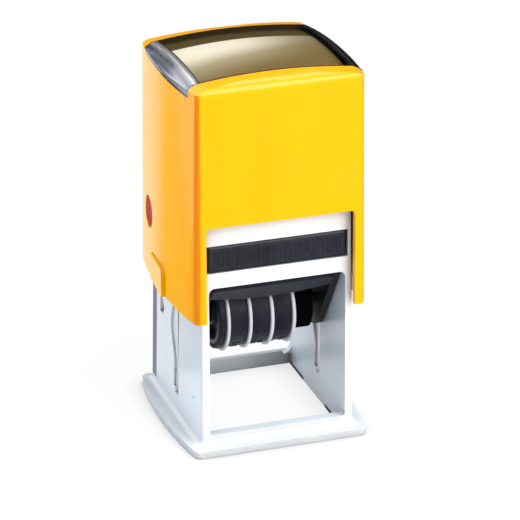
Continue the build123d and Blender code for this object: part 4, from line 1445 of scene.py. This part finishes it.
# ---- The return spring ----
@dataclass
class ReturnSpring(Assembly):
    """The coil spring that gets shorter as the cap goes down."""

    wire: float = 0.6 * MM
    wire_sides: int = 14
    coils: float = 4.5
    coil_steps: int = 40
    keep: float = 0.187
    steel: Steel = Steel("spring_steel", Slot.SPRING, (0.6, 0.6, 0.62), 0.22)

    def build(self) -> None:
        """Spin the wire's round section into a coil."""
        low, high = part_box("return_spring")
        radius = (high.x - low.x) / 2 - self.wire
        rise = high.z - low.z - 2 * self.wire
        bm = bmesh.new()
        upright = Matrix.Rotation(math.pi / 2, 4, "X")
        place = Matrix.Translation((radius, 0, low.z + self.wire)) @ upright
        bmesh.ops.create_circle(bm, segments=self.wire_sides, radius=self.wire, matrix=place)
        section = [*bm.edges, *bm.verts]
        steps = int(self.coils * self.coil_steps)
        bmesh.ops.spin(bm, geom=section, cent=(0, 0, 0), axis=(0, 0, 1), steps=steps,
            angle=2 * math.pi * self.coils, dvec=(0, 0, rise / steps), use_merge=False,
            use_duplicate=False)
        bmesh.ops.holes_fill(bm, edges=[e for e in bm.edges if e.is_boundary], sides=0)
        bmesh.ops.recalc_face_normals(bm, faces=bm.faces)
        made = self.piece(bm, "return_spring_wire", self.steel, ("return_spring",), weigh=False)
        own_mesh(made)


# ---- The studio ----
@dataclass
class Lamp:
    """One soft box; diffuse is its share of light on matt surfaces."""

    name: str
    place: Point
    size: float
    watts: float
    diffuse: float = 1.0


@dataclass
class Flag:
    """A black flag that only shows in glossy surfaces, to deepen them."""

    name: str
    place: Point
    size: tuple[float, float]
    turn: Point = (0.0, 0.0, 0.0)


@dataclass
class Studio:
    """A pale floor, soft lamps, black flags and the camera."""

    bench: Bench
    sensor: float = 36.0
    focal: float = 3333.289 * 36.0 / 520.0
    camera_place: Point = (-0.234564, -0.706695, 0.365536)
    camera_turn: Point = (90.0 - 23.618, 0.0, -18.513)
    aim: Point = (0, 0, 0.045)
    sky: float = 0.42
    floor_size: float = 6.0
    paper: FloorPaper = FloorPaper("floor_paper", None)
    cloth: BlackCloth = BlackCloth("black_cloth", None)
    lamps: tuple[Lamp, ...] = (
        Lamp("key_box", (0.4, -0.72, 0.55), 0.5, 5.5),
        Lamp("left_box", (-0.85, 0.3, 0.16), 0.5, 2.9),
        Lamp("top_box", (0.1, -0.15, 0.9), 0.5, 5.0),
        Lamp("back_box", (-0.22, 0.58, 0.4), 0.55, 1.8, diffuse=0.2),
    )
    flags: tuple[Flag, ...] = (
        Flag("front_flag", (0.05, -0.375, 0.002), (0.6, 0.69)),
        Flag("back_flag", (0.35, 0.62, 0.45), (1.3, 0.9), (90.0, 0.0, 0.0)),
        Flag("left_flag", (-0.089, 0.13, 0.001), (0.05, 0.24), (0.0, 0.0, 18.4)),
        Flag("corner_flag", (-0.185, -0.095, 0.001), (0.27, 0.37)),
        Flag("right_flag", (0.35, 0.36, 0.001), (0.6, 0.5)),
    )

    def build(self) -> None:
        """Set up the camera, the world, the lamps, the flags and the floor."""
        self.camera()
        self.world()
        for lamp in self.lamps:
            self.hang(lamp)
        for flag in self.flags:
            self.stand(flag)
        wide = Matrix.Diagonal((self.floor_size, self.floor_size, 1.0, 1.0))
        self.sheet("floor", wide, self.paper)
        bpy.context.scene.view_settings.view_transform = "Standard"

    def camera(self) -> None:
        """Place the camera."""
        data = bpy.data.cameras.new("camera")
        data.sensor_width = self.sensor
        data.lens = self.focal
        data.clip_end = 10.0
        made = add_object("camera", data)
        made.location = self.camera_place
        made.rotation_euler = [math.radians(a) for a in self.camera_turn]
        bpy.context.scene.camera = made

    def world(self) -> None:
        """An even sky that the camera and mirrored rays see as white."""
        world = bpy.data.worlds.new("sky")
        world.use_nodes = True
        bpy.context.scene.world = world
        g = Graph(world.node_tree)
        back = world.node_tree.nodes["Background"].inputs
        g.feed(back["Color"], (1.0, 1.0, 1.0, 1.0))
        g.feed(back["Strength"], g.seen() * (1.0 - self.sky) + self.sky)

    def hang(self, lamp: Lamp) -> None:
        """Hang one lamp, aimed at the middle of the stamp.

        Args:
            lamp: the lamp.
        """
        data = bpy.data.lights.new(lamp.name, "AREA")
        data.shape = "SQUARE"
        data.size = lamp.size
        data.energy = lamp.watts
        data.diffuse_factor = lamp.diffuse
        made = add_object(lamp.name, data)
        made.location = lamp.place
        way = Vector(self.aim) - Vector(lamp.place)
        made.rotation_euler = way.to_track_quat("-Z", "Y").to_euler()

    def sheet(self, name: str, place: Matrix, look: Finish) -> bpy.types.Object:
        """A flat stage sheet, one metre across before it is placed.

        Args:
            name: the sheet's name.
            place: its place and size.
            look: its finish.

        Returns:
            The sheet.
        """
        bm = bmesh.new()
        bmesh.ops.create_grid(bm, x_segments=1, y_segments=1, size=0.5, matrix=place)
        made = add_object(name, settle(bm, name))
        made.data.materials.append(self.bench.finish(look))
        return made

    def stand(self, flag: Flag) -> None:
        """Stand one black flag where only glossy surfaces see it.

        Args:
            flag: the flag.
        """
        turn = Euler([math.radians(a) for a in flag.turn]).to_matrix().to_4x4()
        place = Matrix.Translation(flag.place) @ turn @ Matrix.Diagonal((*flag.size, 1.0, 1.0))
        made = self.sheet(flag.name, place, self.cloth)
        for way in ("camera", "diffuse", "transmission", "volume_scatter", "shadow"):
            setattr(made, "visible_" + way, False)


def main() -> None:
    """Build the stamp on its frame, then the studio round it."""
    logging.basicConfig(level=logging.INFO, format="%(name)s: %(message)s")
    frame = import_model()
    bench = Bench(frame)
    for kind in (StandingFrame, Cap, InkTray, Carriage, DateUnit, ReturnSpring, Studio):
        kind(bench).build()
        log.info("%s done", kind.__name__)


if __name__ == "__main__":
    main()
